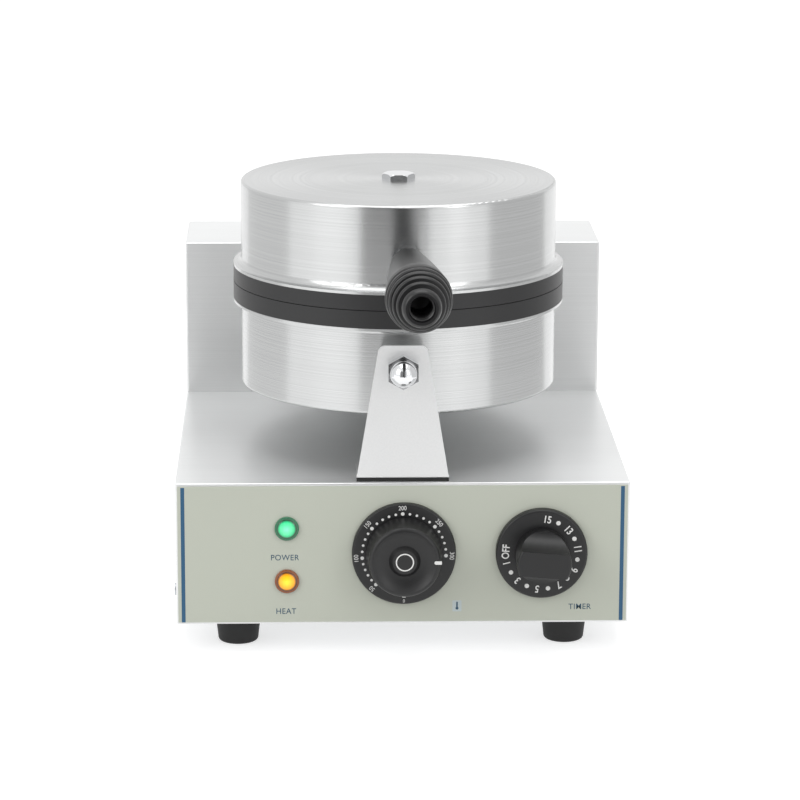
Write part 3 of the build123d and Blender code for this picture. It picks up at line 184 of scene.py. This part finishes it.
def zinc():
    # Zinc-plated fastener steel: greyish, with a blue cast and a cloudy shine
    made, tree, shader, place = start("zinc_plated_steel", Metallic=1.0, Roughness=0.34)
    clouds = add(tree, "ShaderNodeTexNoise", {"Vector": place, "Scale": 0.8, "Detail": 5.0})
    tint = add(tree, "ShaderNodeValToRGB", {"Fac": clouds.outputs["Fac"]})
    tint.color_ramp.elements[0].color = srgb("A9ADB3")
    tint.color_ramp.elements[1].color = srgb("CBCED2")
    tree.links.new(tint.outputs["Color"], shader.inputs["Base Color"])
    dull = add(tree, "ShaderNodeMapRange", {"Value": clouds.outputs["Fac"], "To Min": 0.24, "To Max": 0.45})
    tree.links.new(dull.outputs[0], shader.inputs["Roughness"])
    return made


def galvanised():
    # Hot-dip galvanised sheet: grey spangle about a centimetre across
    made, tree, shader, place = start("galvanised_sheet", Metallic=1.0, Roughness=0.45)
    spangle = add(tree, "ShaderNodeTexVoronoi", {"Vector": place, "Scale": 0.12})
    tint = add(tree, "ShaderNodeValToRGB", {"Fac": spangle.outputs["Color"]})
    tint.color_ramp.elements[0].color = srgb("A4A8AB")
    tint.color_ramp.elements[1].color = srgb("BFC3C5")
    tree.links.new(tint.outputs["Color"], shader.inputs["Base Color"])
    return made


def cast(name, dark, light, rough, depth):
    """A metal with a grained skin: colour and relief of one grain, its depth in mm."""
    made, tree, shader, place = start(name, Metallic=1.0, Roughness=rough)
    skin = add(tree, "ShaderNodeTexNoise", {"Vector": place, "Scale": 1.4, "Detail": 6.0})
    tint = add(tree, "ShaderNodeValToRGB", {"Fac": skin.outputs["Fac"]})
    tint.color_ramp.elements[0].color = srgb(dark)
    tint.color_ramp.elements[1].color = srgb(light)
    tree.links.new(tint.outputs["Color"], shader.inputs["Base Color"])
    relief = add(tree, "ShaderNodeBump", {"Height": skin.outputs["Fac"], "Strength": 0.35,
                                          "Distance": depth * mm})
    tree.links.new(relief.outputs[0], shader.inputs["Normal"])
    return made


def plastic(name, dark, light, rough, grain_mm, relief_mm, coat=0.0):
    """A moulded, coated, felted or printed surface: near-even colour, fine grain and soft gloss."""
    made, tree, shader, place = start(name, Roughness=rough, Coat_Weight=coat)
    shader.inputs["Coat Roughness"].default_value = 0.2
    grain = add(tree, "ShaderNodeTexNoise", {"Vector": place, "Scale": 1 / grain_mm, "Detail": 3.0})
    tint = add(tree, "ShaderNodeValToRGB", {"Fac": grain.outputs["Fac"]})
    tint.color_ramp.elements[0].color = srgb(dark)
    tint.color_ramp.elements[1].color = srgb(light)
    tree.links.new(tint.outputs["Color"], shader.inputs["Base Color"])
    gloss = add(tree, "ShaderNodeMapRange", {"Value": grain.outputs["Fac"], "To Min": rough - 0.05,
                                             "To Max": rough + 0.08})
    tree.links.new(gloss.outputs[0], shader.inputs["Roughness"])
    relief = add(tree, "ShaderNodeBump", {"Height": grain.outputs["Fac"], "Strength": 0.3,
                                          "Distance": relief_mm * mm})
    tree.links.new(relief.outputs[0], shader.inputs["Normal"])
    return made


steel = steel_sheet()
spun = spun_steel()
plate_steel = satin_steel()
bright = chrome()
fastener = zinc()
tray = galvanised()
# Die-cast aluminium: dull silver with a fine orange-peel skin
aluminium = cast("die_cast_aluminium", "A3A5A6", "BCBEBE", 0.48, 0.15)
# Sheathed heater: steel blued and browned by heat
heater_steel = cast("heat_tinted_steel", "5D5550", "7C7269", 0.5, 0.05)
# Pressed and sintered bushing: brown-gold and dull
bronze = cast("sintered_bronze", "9A7444", "B78E58", 0.45, 0.05)
# Thin drawn tube: red-brown with a soft shine
copper = cast("drawn_copper", "B0704E", "C98761", 0.3, 0.02)
# Non-stick coated casting: black, satin, with the casting's orange-peel under the coat
coating = plastic("non_stick_coated_casting", "1A1A1B", "262627", 0.42, 0.6, 0.03)
# Moulded rubber of feet and gasket: black and matt
rubber = plastic("black_epdm_rubber", "151515", "1F1F1F", 0.62, 0.4, 0.02)
# Glass-filled nylon of the grip: black, with the softly glossy skin of a polished mould
handle_plastic = plastic("black_glass_filled_nylon", "141415", "1C1C1D", 0.3, 0.35, 0.012)
# Phenolic of dial and knobs: black, a little duller than the grip
knob_plastic = plastic("black_phenolic_moulding", "121213", "19191A", 0.4, 0.3, 0.006)
# Thermoset of the switch bodies: brown-black and dull
inner_plastic = plastic("black_thermoset_body", "1E1D1C", "2A2927", 0.5, 0.5, 0.02)
# Natural nylon of lamp bodies and terminals: warm white
white_plastic = plastic("white_nylon_moulding", "DAD8D0", "E6E4DC", 0.4, 0.5, 0.01)
# Mineral wool board: straw-coloured, matt and rough
wool = plastic("mineral_wool_board", "B9AE8C", "D8CFB2", 0.9, 0.8, 0.5)
# Printed polyester film over the front: pale grey-green, satin, with a faint grained back print
film = plastic("printed_polyester_film", "C0C4B7", "C5C9BC", 0.38, 0.5, 0.003, 0.15)
# Screen and pad prints: thin, even and nearly matt inks
blue_ink = plastic("blue_screen_ink", "285577", "2E5F83", 0.45, 0.4, 0.003)
label_ink = plastic("slate_screen_ink", "2B4C62", "33556B", 0.5, 0.4, 0.003)
white_ink = plastic("white_pad_print", "E6E6E4", "F1F1EF", 0.5, 0.4, 0.003)
icon_blue = plastic("pale_blue_screen_ink", "BFCACB", "C5CFD0", 0.45, 0.4, 0.003)


def lens_finish(name, node, dark, edge, lit, glow):
    """Coloured polycarbonate over a lit neon lamp: bright and gridded in the middle, dark at the rim."""
    low, high = corners(node)
    middle = (low + high) / 2
    lens_radius = 7.0
    made, tree, shader, place = start(name, Roughness=0.12, Coat_Weight=0.5, Coat_Roughness=0.06)
    centred = add(tree, "ShaderNodeMapping", {"Vector": place, "Location": (-middle.x, 0, -middle.z)})
    flat = add(tree, "ShaderNodeMapping", {"Vector": centred.outputs[0], "Scale": (1, 0, 1)})
    distance = add(tree, "ShaderNodeVectorMath", {0: flat.outputs[0]}, operation="LENGTH")
    # grid of moulded facets 0.8 mm apart
    waves = [add(tree, "ShaderNodeTexWave", {"Vector": flat.outputs[0], "Scale": 0.39, "Distortion": 0.2},
                 wave_type="BANDS", bands_direction=way) for way in ("X", "Z")]
    grid = add(tree, "ShaderNodeMath", {0: waves[0].outputs["Fac"], 1: waves[1].outputs["Fac"]},
               operation="MULTIPLY")
    shaded = add(tree, "ShaderNodeMapRange", {"Value": grid.outputs[0], "To Min": 0.55, "To Max": 1.2})
    share = add(tree, "ShaderNodeMath", {0: distance.outputs["Value"], 1: lens_radius}, operation="DIVIDE")
    tint = add(tree, "ShaderNodeValToRGB", {"Fac": share.outputs[0]})
    ramp = tint.color_ramp
    ramp.elements[0].color = srgb(lit)
    ramp.elements[1].position = 0.9
    ramp.elements[1].color = srgb(edge)
    ramp.elements.new(0.62).color = srgb(glow)
    ramp.elements.new(0.76).color = srgb(dark)
    tree.links.new(tint.outputs["Color"], shader.inputs["Base Color"])
    tree.links.new(tint.outputs["Color"], shader.inputs["Emission Color"])
    inside = add(tree, "ShaderNodeMapRange", {"Value": share.outputs[0], "From Min": 0.55, "From Max": 0.8,
                                              "To Min": 0.75, "To Max": 0.05})
    lit_grid = add(tree, "ShaderNodeMath", {0: inside.outputs[0], 1: shaded.outputs[0]},
                   operation="MULTIPLY")
    tree.links.new(lit_grid.outputs[0], shader.inputs["Emission Strength"])
    relief = add(tree, "ShaderNodeBump", {"Height": grid.outputs[0], "Strength": 0.2, "Distance": 0.2 * mm})
    tree.links.new(relief.outputs[0], shader.inputs["Normal"])
    return made


green_lens = lens_finish("green_polycarbonate_lens", "power_lamp_lens",
                         "0B4A2C", "23704C", "7FF0BE", "35CB86")
amber_lens = lens_finish("amber_polycarbonate_lens", "heat_lamp_lens",
                         "4E2206", "8A4712", "FFE02A", "F2A00C")

finishes = {
    steel: ["base_shell", "column_shell", "column_cover", "rear_support"],
    plate_steel: ["support_bracket", "hinge_bracket"],
    spun: ["lower_pan", "upper_pan"],
    bright: ["acorn_nut", "handle_nut", "upper_pan_nut", "lower_pan_nut", "front_spacer"],
    fastener: ["base_plate_screws", "foot_screws", "bracket_screws", "front_stud", "cover_screws",
               "column_screws", "pan_screws", "m5_nuts", "lower_centre_stud", "upper_centre_stud",
               "handle_stud", "hinge_screws", "hinge_pin", "arm_screws", "control_screws",
               "thermostat_spindle", "timer_spindle", "lower_heater_clamp", "upper_heater_clamp"],
    tray: ["base_plate"],
    aluminium: ["hinge_arm"],
    heater_steel: ["lower_heater", "upper_heater"],
    bronze: ["hinge_bush"],
    copper: ["thermostat_capillary"],
    coating: ["lower_waffle_plate", "upper_waffle_plate"],
    rubber: ["foot_front_left", "foot_front_right", "foot_rear_left", "foot_rear_right", "bracket_gasket"],
    handle_plastic: ["handle_grip"],
    knob_plastic: ["thermostat_dial", "thermostat_knob", "timer_knob"],
    inner_plastic: ["thermostat_body", "timer_body", "cable_gland"],
    white_plastic: ["power_lamp_body", "heat_lamp_body", "terminal_block"],
    wool: ["lower_insulation", "upper_insulation"],
    film: ["front_film"],
    green_lens: ["power_lamp_lens"],
    amber_lens: ["heat_lamp_lens"],
}
for finish, names in finishes.items():
    for name in names:
        nodes[name].data.materials.clear()
        nodes[name].data.materials.append(finish)

# Making pieces by hand


def clear():
    """Nothing selected, in object mode."""
    if bpy.context.object and bpy.context.object.mode != "OBJECT":
        bpy.ops.object.mode_set(mode="OBJECT")
    bpy.ops.object.select_all(action="DESELECT")


def settle(piece, placement):
    """Puts a piece in its place and leaves the object itself at the origin."""
    clear()
    piece.matrix_world = placement
    piece.select_set(True)
    bpy.context.view_layer.objects.active = piece
    bpy.ops.object.transform_apply(location=True, rotation=True, scale=True)


def facing(x, y, z, turn=0.0):
    """Placement of a piece made flat on the floor, so that its top faces the user."""
    moved = Matrix.Translation((x * mm, y * mm, z * mm))
    return moved @ Matrix.Rotation(pi / 2, 4, "X") @ Matrix.Rotation(turn, 4, "Z")


def finish_piece(piece, name, finish, body, smooth=35):
    """Names a piece, shades it, gives it its finish and lets it ride on its body."""
    clear()
    piece.name = piece.data.name = name
    piece.select_set(True)
    bpy.context.view_layer.objects.active = piece
    if smooth:
        bpy.ops.object.shade_smooth_by_angle(angle=radians(smooth))
    piece.data.materials.clear()
    piece.data.materials.append(finish)
    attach(piece, body)
    return piece


def turned(rings, segments=96):
    """A solid turned on a lathe: a filled circle extruded from ring to ring, each (height, radius) in mm."""
    clear()
    height, radius = rings[0]
    bpy.ops.mesh.primitive_circle_add(vertices=segments, radius=radius * mm, fill_type="NGON",
                                      location=(0, 0, height * mm))
    piece = bpy.context.object
    bpy.ops.object.transform_apply(location=True)
    bpy.ops.object.mode_set(mode="EDIT")
    bpy.ops.mesh.select_all(action="SELECT")
    for next_height, next_radius in rings[1:]:
        rise = (next_height - height) * mm
        bpy.ops.mesh.extrude_region_move(TRANSFORM_OT_translate={"value": (0, 0, rise)})
        share = next_radius / radius
        bpy.ops.transform.resize(value=(share, share, 1), center_override=(0, 0, next_height * mm))
        height, radius = next_height, next_radius
    bpy.ops.mesh.select_all(action="SELECT")
    bpy.ops.mesh.normals_make_consistent(inside=False)
    bpy.ops.object.mode_set(mode="OBJECT")
    return piece


def joined(pieces):
    """Joins finished meshes into one piece."""
    clear()
    for piece in pieces:
        piece.select_set(True)
    bpy.context.view_layer.objects.active = pieces[0]
    if len(pieces) > 1:
        bpy.ops.object.join()
    return bpy.context.object


print_gap = 0.03
capital_share = 0.72
letter_thickness = 0.02
bar_thickness = 0.04
bar_corner_share = 0.08
dot_edge = 0.03
dot_height = 0.05
dot_crown_share = 0.8


def lettering(body, height, placement, weight=0.0, spacing=1.0, width=1.0):
    """Printed characters, height in mm, centred on the placement and a hair thick."""
    clear()
    bpy.ops.object.text_add()
    text = bpy.context.object
    text.data.body = body
    text.data.size = height / capital_share * mm
    text.data.align_x = "CENTER"
    text.data.align_y = "CENTER"
    text.data.space_character = spacing
    text.data.offset = weight * mm
    text.data.extrude = letter_thickness * mm
    text.data.resolution_u = 6
    clear()
    text.select_set(True)
    bpy.context.view_layer.objects.active = text
    bpy.ops.object.convert(target="MESH")
    text = bpy.context.object
    settle(text, placement @ Matrix.Diagonal((width, 1, 1, 1)))
    return text


def round_mark(radius, placement):
    """A printed dot, very slightly raised at its middle."""
    dot = turned([(0, radius), (dot_edge, radius), (dot_height, radius * dot_crown_share)], 24)
    settle(dot, placement)
    return dot


def printed_bar(width, height, placement):
    """A printed rectangle with softened corners, a hair thick."""
    clear()
    bpy.ops.mesh.primitive_plane_add(size=1)
    bar = bpy.context.object
    bar.scale = (width * mm, height * mm, 1)
    bpy.ops.object.transform_apply(scale=True)
    bpy.ops.object.mode_set(mode="EDIT")
    bpy.ops.mesh.select_all(action="SELECT")
    corner = min(width, height) * bar_corner_share
    bpy.ops.mesh.bevel(offset=corner * mm, segments=3, affect="VERTICES")
    bpy.ops.mesh.extrude_region_move(TRANSFORM_OT_translate={"value": (0, 0, bar_thickness * mm)})
    bpy.ops.mesh.select_all(action="SELECT")
    bpy.ops.mesh.normals_make_consistent(inside=False)
    bpy.ops.object.mode_set(mode="OBJECT")
    settle(bar, placement)
    return bar


def around(cx, face, cz, radius, turn):
    """Placement at a radius and a clockwise turn from twelve o'clock on a face towards the user."""
    a = radians(turn)
    return facing(cx + radius * sin(a), face - print_gap, cz + radius * cos(a), -a)


# Thermostat's scale on its fixed dial: numbers, dots and the tick at zero, turns clockwise from below

scale_turns = {"50": 42, "100": 85, "150": 130, "200": 178, "250": 227, "300": 272}
dots_per_step = 5
number_height = 2.6
number_width = 0.88
number_radius = 27.3
zero_height = 2.0
zero_width = 0.85
zero_radius = 27.6
dot_ring_radius = 24.0
main_dot = 1.05
small_dot = 0.75
tick_radius = 25.4
tick_width = 2.1
tick_height = 0.5
tick_thickness = 0.05
tick_edge = 0.015


def on_dial(radius, turn):
    """Placement on the dial, with the turn counted from its zero at six o'clock."""
    return around(dial_x, dial_face, dial_z, radius, 180 + turn)


marks = []
for number, turn in scale_turns.items():
    marks.append(lettering(number, number_height, on_dial(number_radius, turn), width=number_width))
marks.append(lettering("0", zero_height, on_dial(zero_radius, 0), width=zero_width))
steps = list(scale_turns.values())
for low_turn, high_turn in zip(steps, steps[1:]):
    for step in range(dots_per_step):
        turn = low_turn + (high_turn - low_turn) * step / dots_per_step
        marks.append(round_mark(main_dot if step == 0 else small_dot, on_dial(dot_ring_radius, turn)))
marks.append(round_mark(main_dot, on_dial(dot_ring_radius, steps[-1])))
clear()
bpy.ops.mesh.primitive_cube_add(size=1)
tick = bpy.context.object
tick.scale = (tick_width * mm, tick_height * mm, tick_thickness * mm)
bpy.ops.object.transform_apply(scale=True)
bpy.ops.object.mode_set(mode="EDIT")
bpy.ops.mesh.select_all(action="SELECT")
bpy.ops.mesh.bevel(offset=tick_edge * mm, segments=1)
bpy.ops.object.mode_set(mode="OBJECT")
settle(tick, on_dial(tick_radius, 0))
marks.append(tick)
finish_piece(joined(marks), "thermostat_scale", white_ink, "base", 0)

# White ring and pointer on the thermostat's knob, which rests at 300, on the dial's right

ring_outer = 5.2
ring_inner = 4.5
ring_thickness = 0.05
ring_recess = 1.2
pointer_radius = 19.3
pointer_length = 3.3
pointer_width = 2.0
pointer_end_radius = 17.7

clear()
boss_ring = turned([(0, ring_outer), (ring_thickness, ring_outer), (ring_thickness, ring_inner),
                    (0, ring_inner)], 64)
bpy.ops.object.mode_set(mode="EDIT")
bpy.ops.mesh.select_all(action="DESELECT")
bpy.ops.mesh.select_face_by_sides(number=4, type="GREATER")
bpy.ops.mesh.delete(type="ONLY_FACE")
bpy.ops.mesh.select_non_manifold(extend=False)
bpy.ops.mesh.bridge_edge_loops()
bpy.ops.object.mode_set(mode="OBJECT")
settle(boss_ring, facing(dial_x, cap_face + ring_recess - print_gap, dial_z))
pointer_bar = printed_bar(pointer_length, pointer_width,
                          facing(dial_x + pointer_radius, cap_face - print_gap, dial_z))
pointer_end = round_mark(pointer_width / 2, facing(dial_x + pointer_end_radius, cap_face - print_gap, dial_z))
pointer = joined([pointer_bar, pointer_end])
finish_piece(joined([boss_ring, pointer]), "thermostat_pointer", white_ink, "thermostat_knob",
             0)

# Timer's numbers and dots on its skirt, turns clockwise from above

timer_turns = {"15": 8, "13": 46.4, "11": 81.6, "9": 116.8, "7": 151.7, "5": 187.2, "3": 221.9, "1": 255.6,
               "OFF": 274.5}
timer_dot_turns = (26.6, 63.7, 99, 134.6, 169.6, 204.3, 238.9)
timer_number_height = 4.3
timer_number_weight = 0.11
timer_number_width = 0.82
timer_scale_radius = 20.6
timer_dot = 1.3
skirt_thickness = 5.0


def on_skirt(turn):
    """Placement on the timer's skirt."""
    return around(timer_x, timer_high.y - skirt_thickness, timer_z, timer_scale_radius, turn)


timer_marks = []
for number, turn in timer_turns.items():
    timer_marks.append(lettering(number, timer_number_height, on_skirt(turn), timer_number_weight,
                                 width=timer_number_width))
for turn in timer_dot_turns:
    timer_marks.append(round_mark(timer_dot, on_skirt(turn)))
finish_piece(joined(timer_marks), "timer_numbers", white_ink, "timer_knob", 0)

# Words, stripes and the thermometer sign on the film, heights above the base's lower edge

film_words = (("POWER", -67.6, 39.3), ("HEAT", -67.0, 7.3), ("TIMER", 102.0, 9.2))
word_height = 3.4
word_weight = 0.02
word_spacing = 1.08
word_width = 0.95
back_print_gap = 0.01
sign_print_gap = 0.06
stripe_x = 125.8
stripe_z = 41.0
stripe_width = 2.2
stripe_height = 80
sign_x = 31.3
sign_z = 10.1
sign_width = 5.2
sign_height = 6.6
stem_z = 10.9
stem_width = 0.9
stem_height = 3.4
bulb_z = 8.7
bulb_radius = 0.85


def on_film(x, z, gap):
    """Placement on the film, a print's gap in front of it."""
    return facing(x, film_face - gap, panel_bottom + z)


words = [lettering(word, word_height, on_film(x, z, print_gap), word_weight, word_spacing, word_width)
         for word, x, z in film_words]
finish_piece(joined(words), "panel_words", label_ink, "base", 0)
stripes = [printed_bar(stripe_width, stripe_height, on_film(x, stripe_z, back_print_gap))
           for x in (-stripe_x, stripe_x)]
finish_piece(joined(stripes), "panel_stripes", blue_ink, "base", 0)
sign_back = printed_bar(sign_width, sign_height, on_film(sign_x, sign_z, back_print_gap))
finish_piece(sign_back, "thermometer_sign_back", icon_blue, "base", 0)
stem = printed_bar(stem_width, stem_height, on_film(sign_x, stem_z, sign_print_gap))
bulb = round_mark(bulb_radius, on_film(sign_x, bulb_z, sign_print_gap))
finish_piece(joined([stem, bulb]), "thermometer_sign", label_ink, "base", 0)

# Handle grip: a smooth cone that swells to ridged collars, with a deep ribbed hole in its end

swing = radians(1.7)
root_radius = 9.4
tip_radius = 8.8
neck_radius = 10.5
end_radius = 7.8
belly_gap = 0.2
swell_start = 1.12
swell_fall = 0.12
cone_steps = 12
ridge_count = 6
ridge_pitch = 5.0
crest_power = 1.83
groove_depth = 1.5
# a collar and the groove behind it: steps along the grip, and how far below the crest or above the groove
collar = ((0, 0.6), (0.4, 0.1), (0.9, 0), (2.0, 0.05), (2.7, 0.35))
collar_foot = (3.2, 1.0)
groove = ((3.4, 0.3), (3.6, 0), (4.8, 0))
# the tip and one rib of the hole: steps back from the end, and radii
tip_outline = ((1.1, 10.0), (0.4, 9.4), (0, tip_radius), (0, 7.3), (0.6, 7.0))
hole_rib = ((0, 6.9), (0.5, 6.2), (1.3, 6.2), (1.8, 6.9))
hole_bottom = ((33.5, 6.8), (33.9, 5.5))
rib_count = 8
rib_start = 3.0
rib_pitch = 3.6

handle_z = (grip_low.z + grip_high.z) / 2
belly_radius = (grip_high.z - grip_low.z) / 2
grip_root = (drum_y - grip_high.y) / cos(swing) + root_radius * tan(swing)
grip_end = (drum_y - grip_low.y) / cos(swing) - tip_radius * tan(swing)
grip_length = grip_end - grip_root
ridge_start = grip_length - ridge_count * ridge_pitch

outline = [(0, root_radius)]
for step in range(cone_steps + 1):
    share = step / cone_steps
    swell = share * (swell_start - swell_fall * share ** 2)
    outline.append((1 + (ridge_start - 2) * share,
                    neck_radius + (belly_radius - belly_gap - neck_radius) * swell))
crests = [belly_radius - (belly_radius - end_radius) * (ridge / ridge_count) ** crest_power
          for ridge in range(ridge_count)]
for ridge, crest in enumerate(crests):
    base_at = ridge_start + ridge * ridge_pitch
    outline += [(base_at + along, crest - below) for along, below in collar]
    if ridge < ridge_count - 1:
        floor_radius = crests[ridge + 1] - groove_depth
        outline.append((base_at + collar_foot[0], crest - collar_foot[1]))
        outline += [(base_at + along, floor_radius + over) for along, over in groove]
outline += [(grip_length - back, radius) for back, radius in tip_outline]
for rib in range(rib_count):
    depth = rib_start + rib_pitch * rib
    outline += [(grip_length - depth - back, radius) for back, radius in hole_rib]
outline += [(grip_length - back, radius) for back, radius in hole_bottom]
grip = turned(outline, 128)

outwards = Vector((sin(swing), -cos(swing), 0))
across = Vector((cos(swing), sin(swing), 0))
turn_to_handle = Matrix((
    (across.x, 0, outwards.x, outwards.x * grip_root * mm),
    (across.y, 0, outwards.y, (drum_y + outwards.y * grip_root) * mm),
    (0, 1, 0, handle_z * mm),
    (0, 0, 0, 1),
))
settle(grip, turn_to_handle)
clear()
grip.select_set(True)
bpy.context.view_layer.objects.active = grip
bpy.ops.object.mode_set(mode="EDIT")
bpy.ops.mesh.select_all(action="SELECT")
bpy.ops.mesh.normals_make_consistent(inside=False)
bpy.ops.object.mode_set(mode="OBJECT")
finish_piece(grip, "ribbed_handle_grip", handle_plastic, "lid", 30)
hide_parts("handle_grip")

# Camera, fitted to the photograph; its place in metres

yaw, pitch, roll = radians(1.693), radians(13.49), radians(0.18)
camera_place = (-0.05796, -1.99914, 0.60544)
ahead = Vector((sin(yaw) * cos(pitch), cos(yaw) * cos(pitch), -sin(pitch)))
right = Vector((cos(yaw), -sin(yaw), 0))
above = right.cross(ahead)
rolled_right = cos(roll) * right + sin(roll) * above
rolled_up = -sin(roll) * right + cos(roll) * above
camera = bpy.data.objects.new("camera", bpy.data.cameras.new("camera"))
bpy.context.scene.collection.objects.link(camera)
camera.data.sensor_width = 36
camera.data.lens = 154.96
camera.matrix_world = Matrix((
    (rolled_right.x, rolled_up.x, -ahead.x, camera_place[0]),
    (rolled_right.y, rolled_up.y, -ahead.y, camera_place[1]),
    (rolled_right.z, rolled_up.z, -ahead.z, camera_place[2]),
    (0, 0, 0, 1),
))
bpy.context.scene.camera = camera

# Studio: white floor and room, three soft lights, and grey cards that only show in the steel

floor_glow = 0.64
room_light = 0.82


def straight_rays(tree):
    """One for rays from the camera, mirrors and clear pieces, nought for those that light the part."""
    seen = add(tree, "ShaderNodeLightPath")
    plain = add(tree, "ShaderNodeMath", {0: seen.outputs["Is Camera Ray"], 1: seen.outputs["Is Glossy Ray"]},
                operation="MAXIMUM")
    plain = add(tree, "ShaderNodeMath", {0: plain.outputs[0], 1: seen.outputs["Is Transmission Ray"]},
                operation="MAXIMUM")
    return plain.outputs[0]


clear()
bpy.ops.mesh.primitive_plane_add(size=40, location=(0, 0, 0))
floor = bpy.context.object
floor.name = "studio_floor"
bpy.ops.object.transform_apply(location=True)
paper = bpy.data.materials.new("white_studio_floor")
paper.use_nodes = True
tree = paper.node_tree
tree.nodes.clear()
lift = add(tree, "ShaderNodeMath", {0: straight_rays(tree), 1: floor_glow}, operation="MULTIPLY")
paper_light = add(tree, "ShaderNodeEmission", {"Color": srgb("FFFFFF"), "Strength": lift.outputs[0]})
paper_skin = add(tree, "ShaderNodeBsdfDiffuse", {"Color": srgb("C4C4C4")})
both = add(tree, "ShaderNodeAddShader", {0: paper_light.outputs[0], 1: paper_skin.outputs[0]})
add(tree, "ShaderNodeOutputMaterial", {"Surface": both.outputs[0]})
floor.data.materials.append(paper)

world = bpy.data.worlds.new("studio")
bpy.context.scene.world = world
world.use_nodes = True
tree = world.node_tree
tree.nodes.clear()
level = add(tree, "ShaderNodeMapRange", {"Value": straight_rays(tree), "To Min": room_light, "To Max": 1.0})
room = add(tree, "ShaderNodeBackground", {"Color": srgb("FFFFFF"), "Strength": level.outputs[0]})
add(tree, "ShaderNodeOutputWorld", {"Surface": room.outputs[0]})


def softbox(name, place, aim, width, height, power):
    """A soft studio light, aimed at a point; sizes in metres."""
    lamp = bpy.data.objects.new(name, bpy.data.lights.new(name, "AREA"))
    bpy.context.scene.collection.objects.link(lamp)
    lamp.data.shape = "RECTANGLE"
    lamp.data.size = width
    lamp.data.size_y = height
    lamp.data.energy = power
    lamp.location = place
    lamp.rotation_euler = (Vector(aim) - Vector(place)).to_track_quat("-Z", "Y").to_euler()


softbox("left_softbox", (-1.5, -1.2, 1.1), (0, 0, 0.15), 1.0, 1.4, 10)
softbox("right_softbox", (1.3, -1.5, 1.0), (0, 0, 0.15), 0.5, 1.4, 5)
softbox("top_softbox", (0, -0.1, 1.8), (0, 0, 0.1), 1.4, 1.2, 10)


def reflection_card(name, left, right, near, far, height, strength):
    """A card that only shows in the steel: on the floor between two turns from the front, then upright."""
    card_lift = 0.004
    foot = [(turn, reach) for reach, turn in ((near, left), (near, right), (far, right), (far, left))]
    points = [(reach * sin(radians(turn)), drum_y * mm - reach * cos(radians(turn)), card_lift)
              for turn, reach in foot]
    points += [(x, y, height) for x, y, z in (points[2], points[3])]
    mesh = bpy.data.meshes.new(name)
    mesh.from_pydata(points, [], [(0, 1, 2, 3), (3, 2, 4, 5)])
    card = bpy.data.objects.new(name, mesh)
    bpy.context.scene.collection.objects.link(card)
    paint = bpy.data.materials.new(name)
    paint.use_nodes = True
    tree = paint.node_tree
    tree.nodes.clear()
    glow = add(tree, "ShaderNodeEmission", {"Color": srgb("FFFFFF"), "Strength": strength})
    add(tree, "ShaderNodeOutputMaterial", {"Surface": glow.outputs[0]})
    mesh.materials.append(paint)
    card.visible_camera = False
    card.visible_diffuse = False
    card.visible_shadow = False
    card.visible_transmission = False


# turns from the front in degrees, then near and far edge and height in metres, then strength
reflection_card("grey_card_front_left", -28, -5, 0.75, 2.4, 1.8, 0.27)
reflection_card("dark_card_front", -5, 7, 0.75, 2.4, 1.8, 0.05)
reflection_card("grey_card_front_right", 7, 19, 0.75, 2.4, 1.8, 0.42)
reflection_card("grey_card_right", 65, 128, 0.5, 1.6, 1.6, 0.75)
reflection_card("grey_card_left", -140, -85, 0.5, 1.6, 1.6, 0.9)

bpy.context.scene.view_settings.view_transform = "Standard"
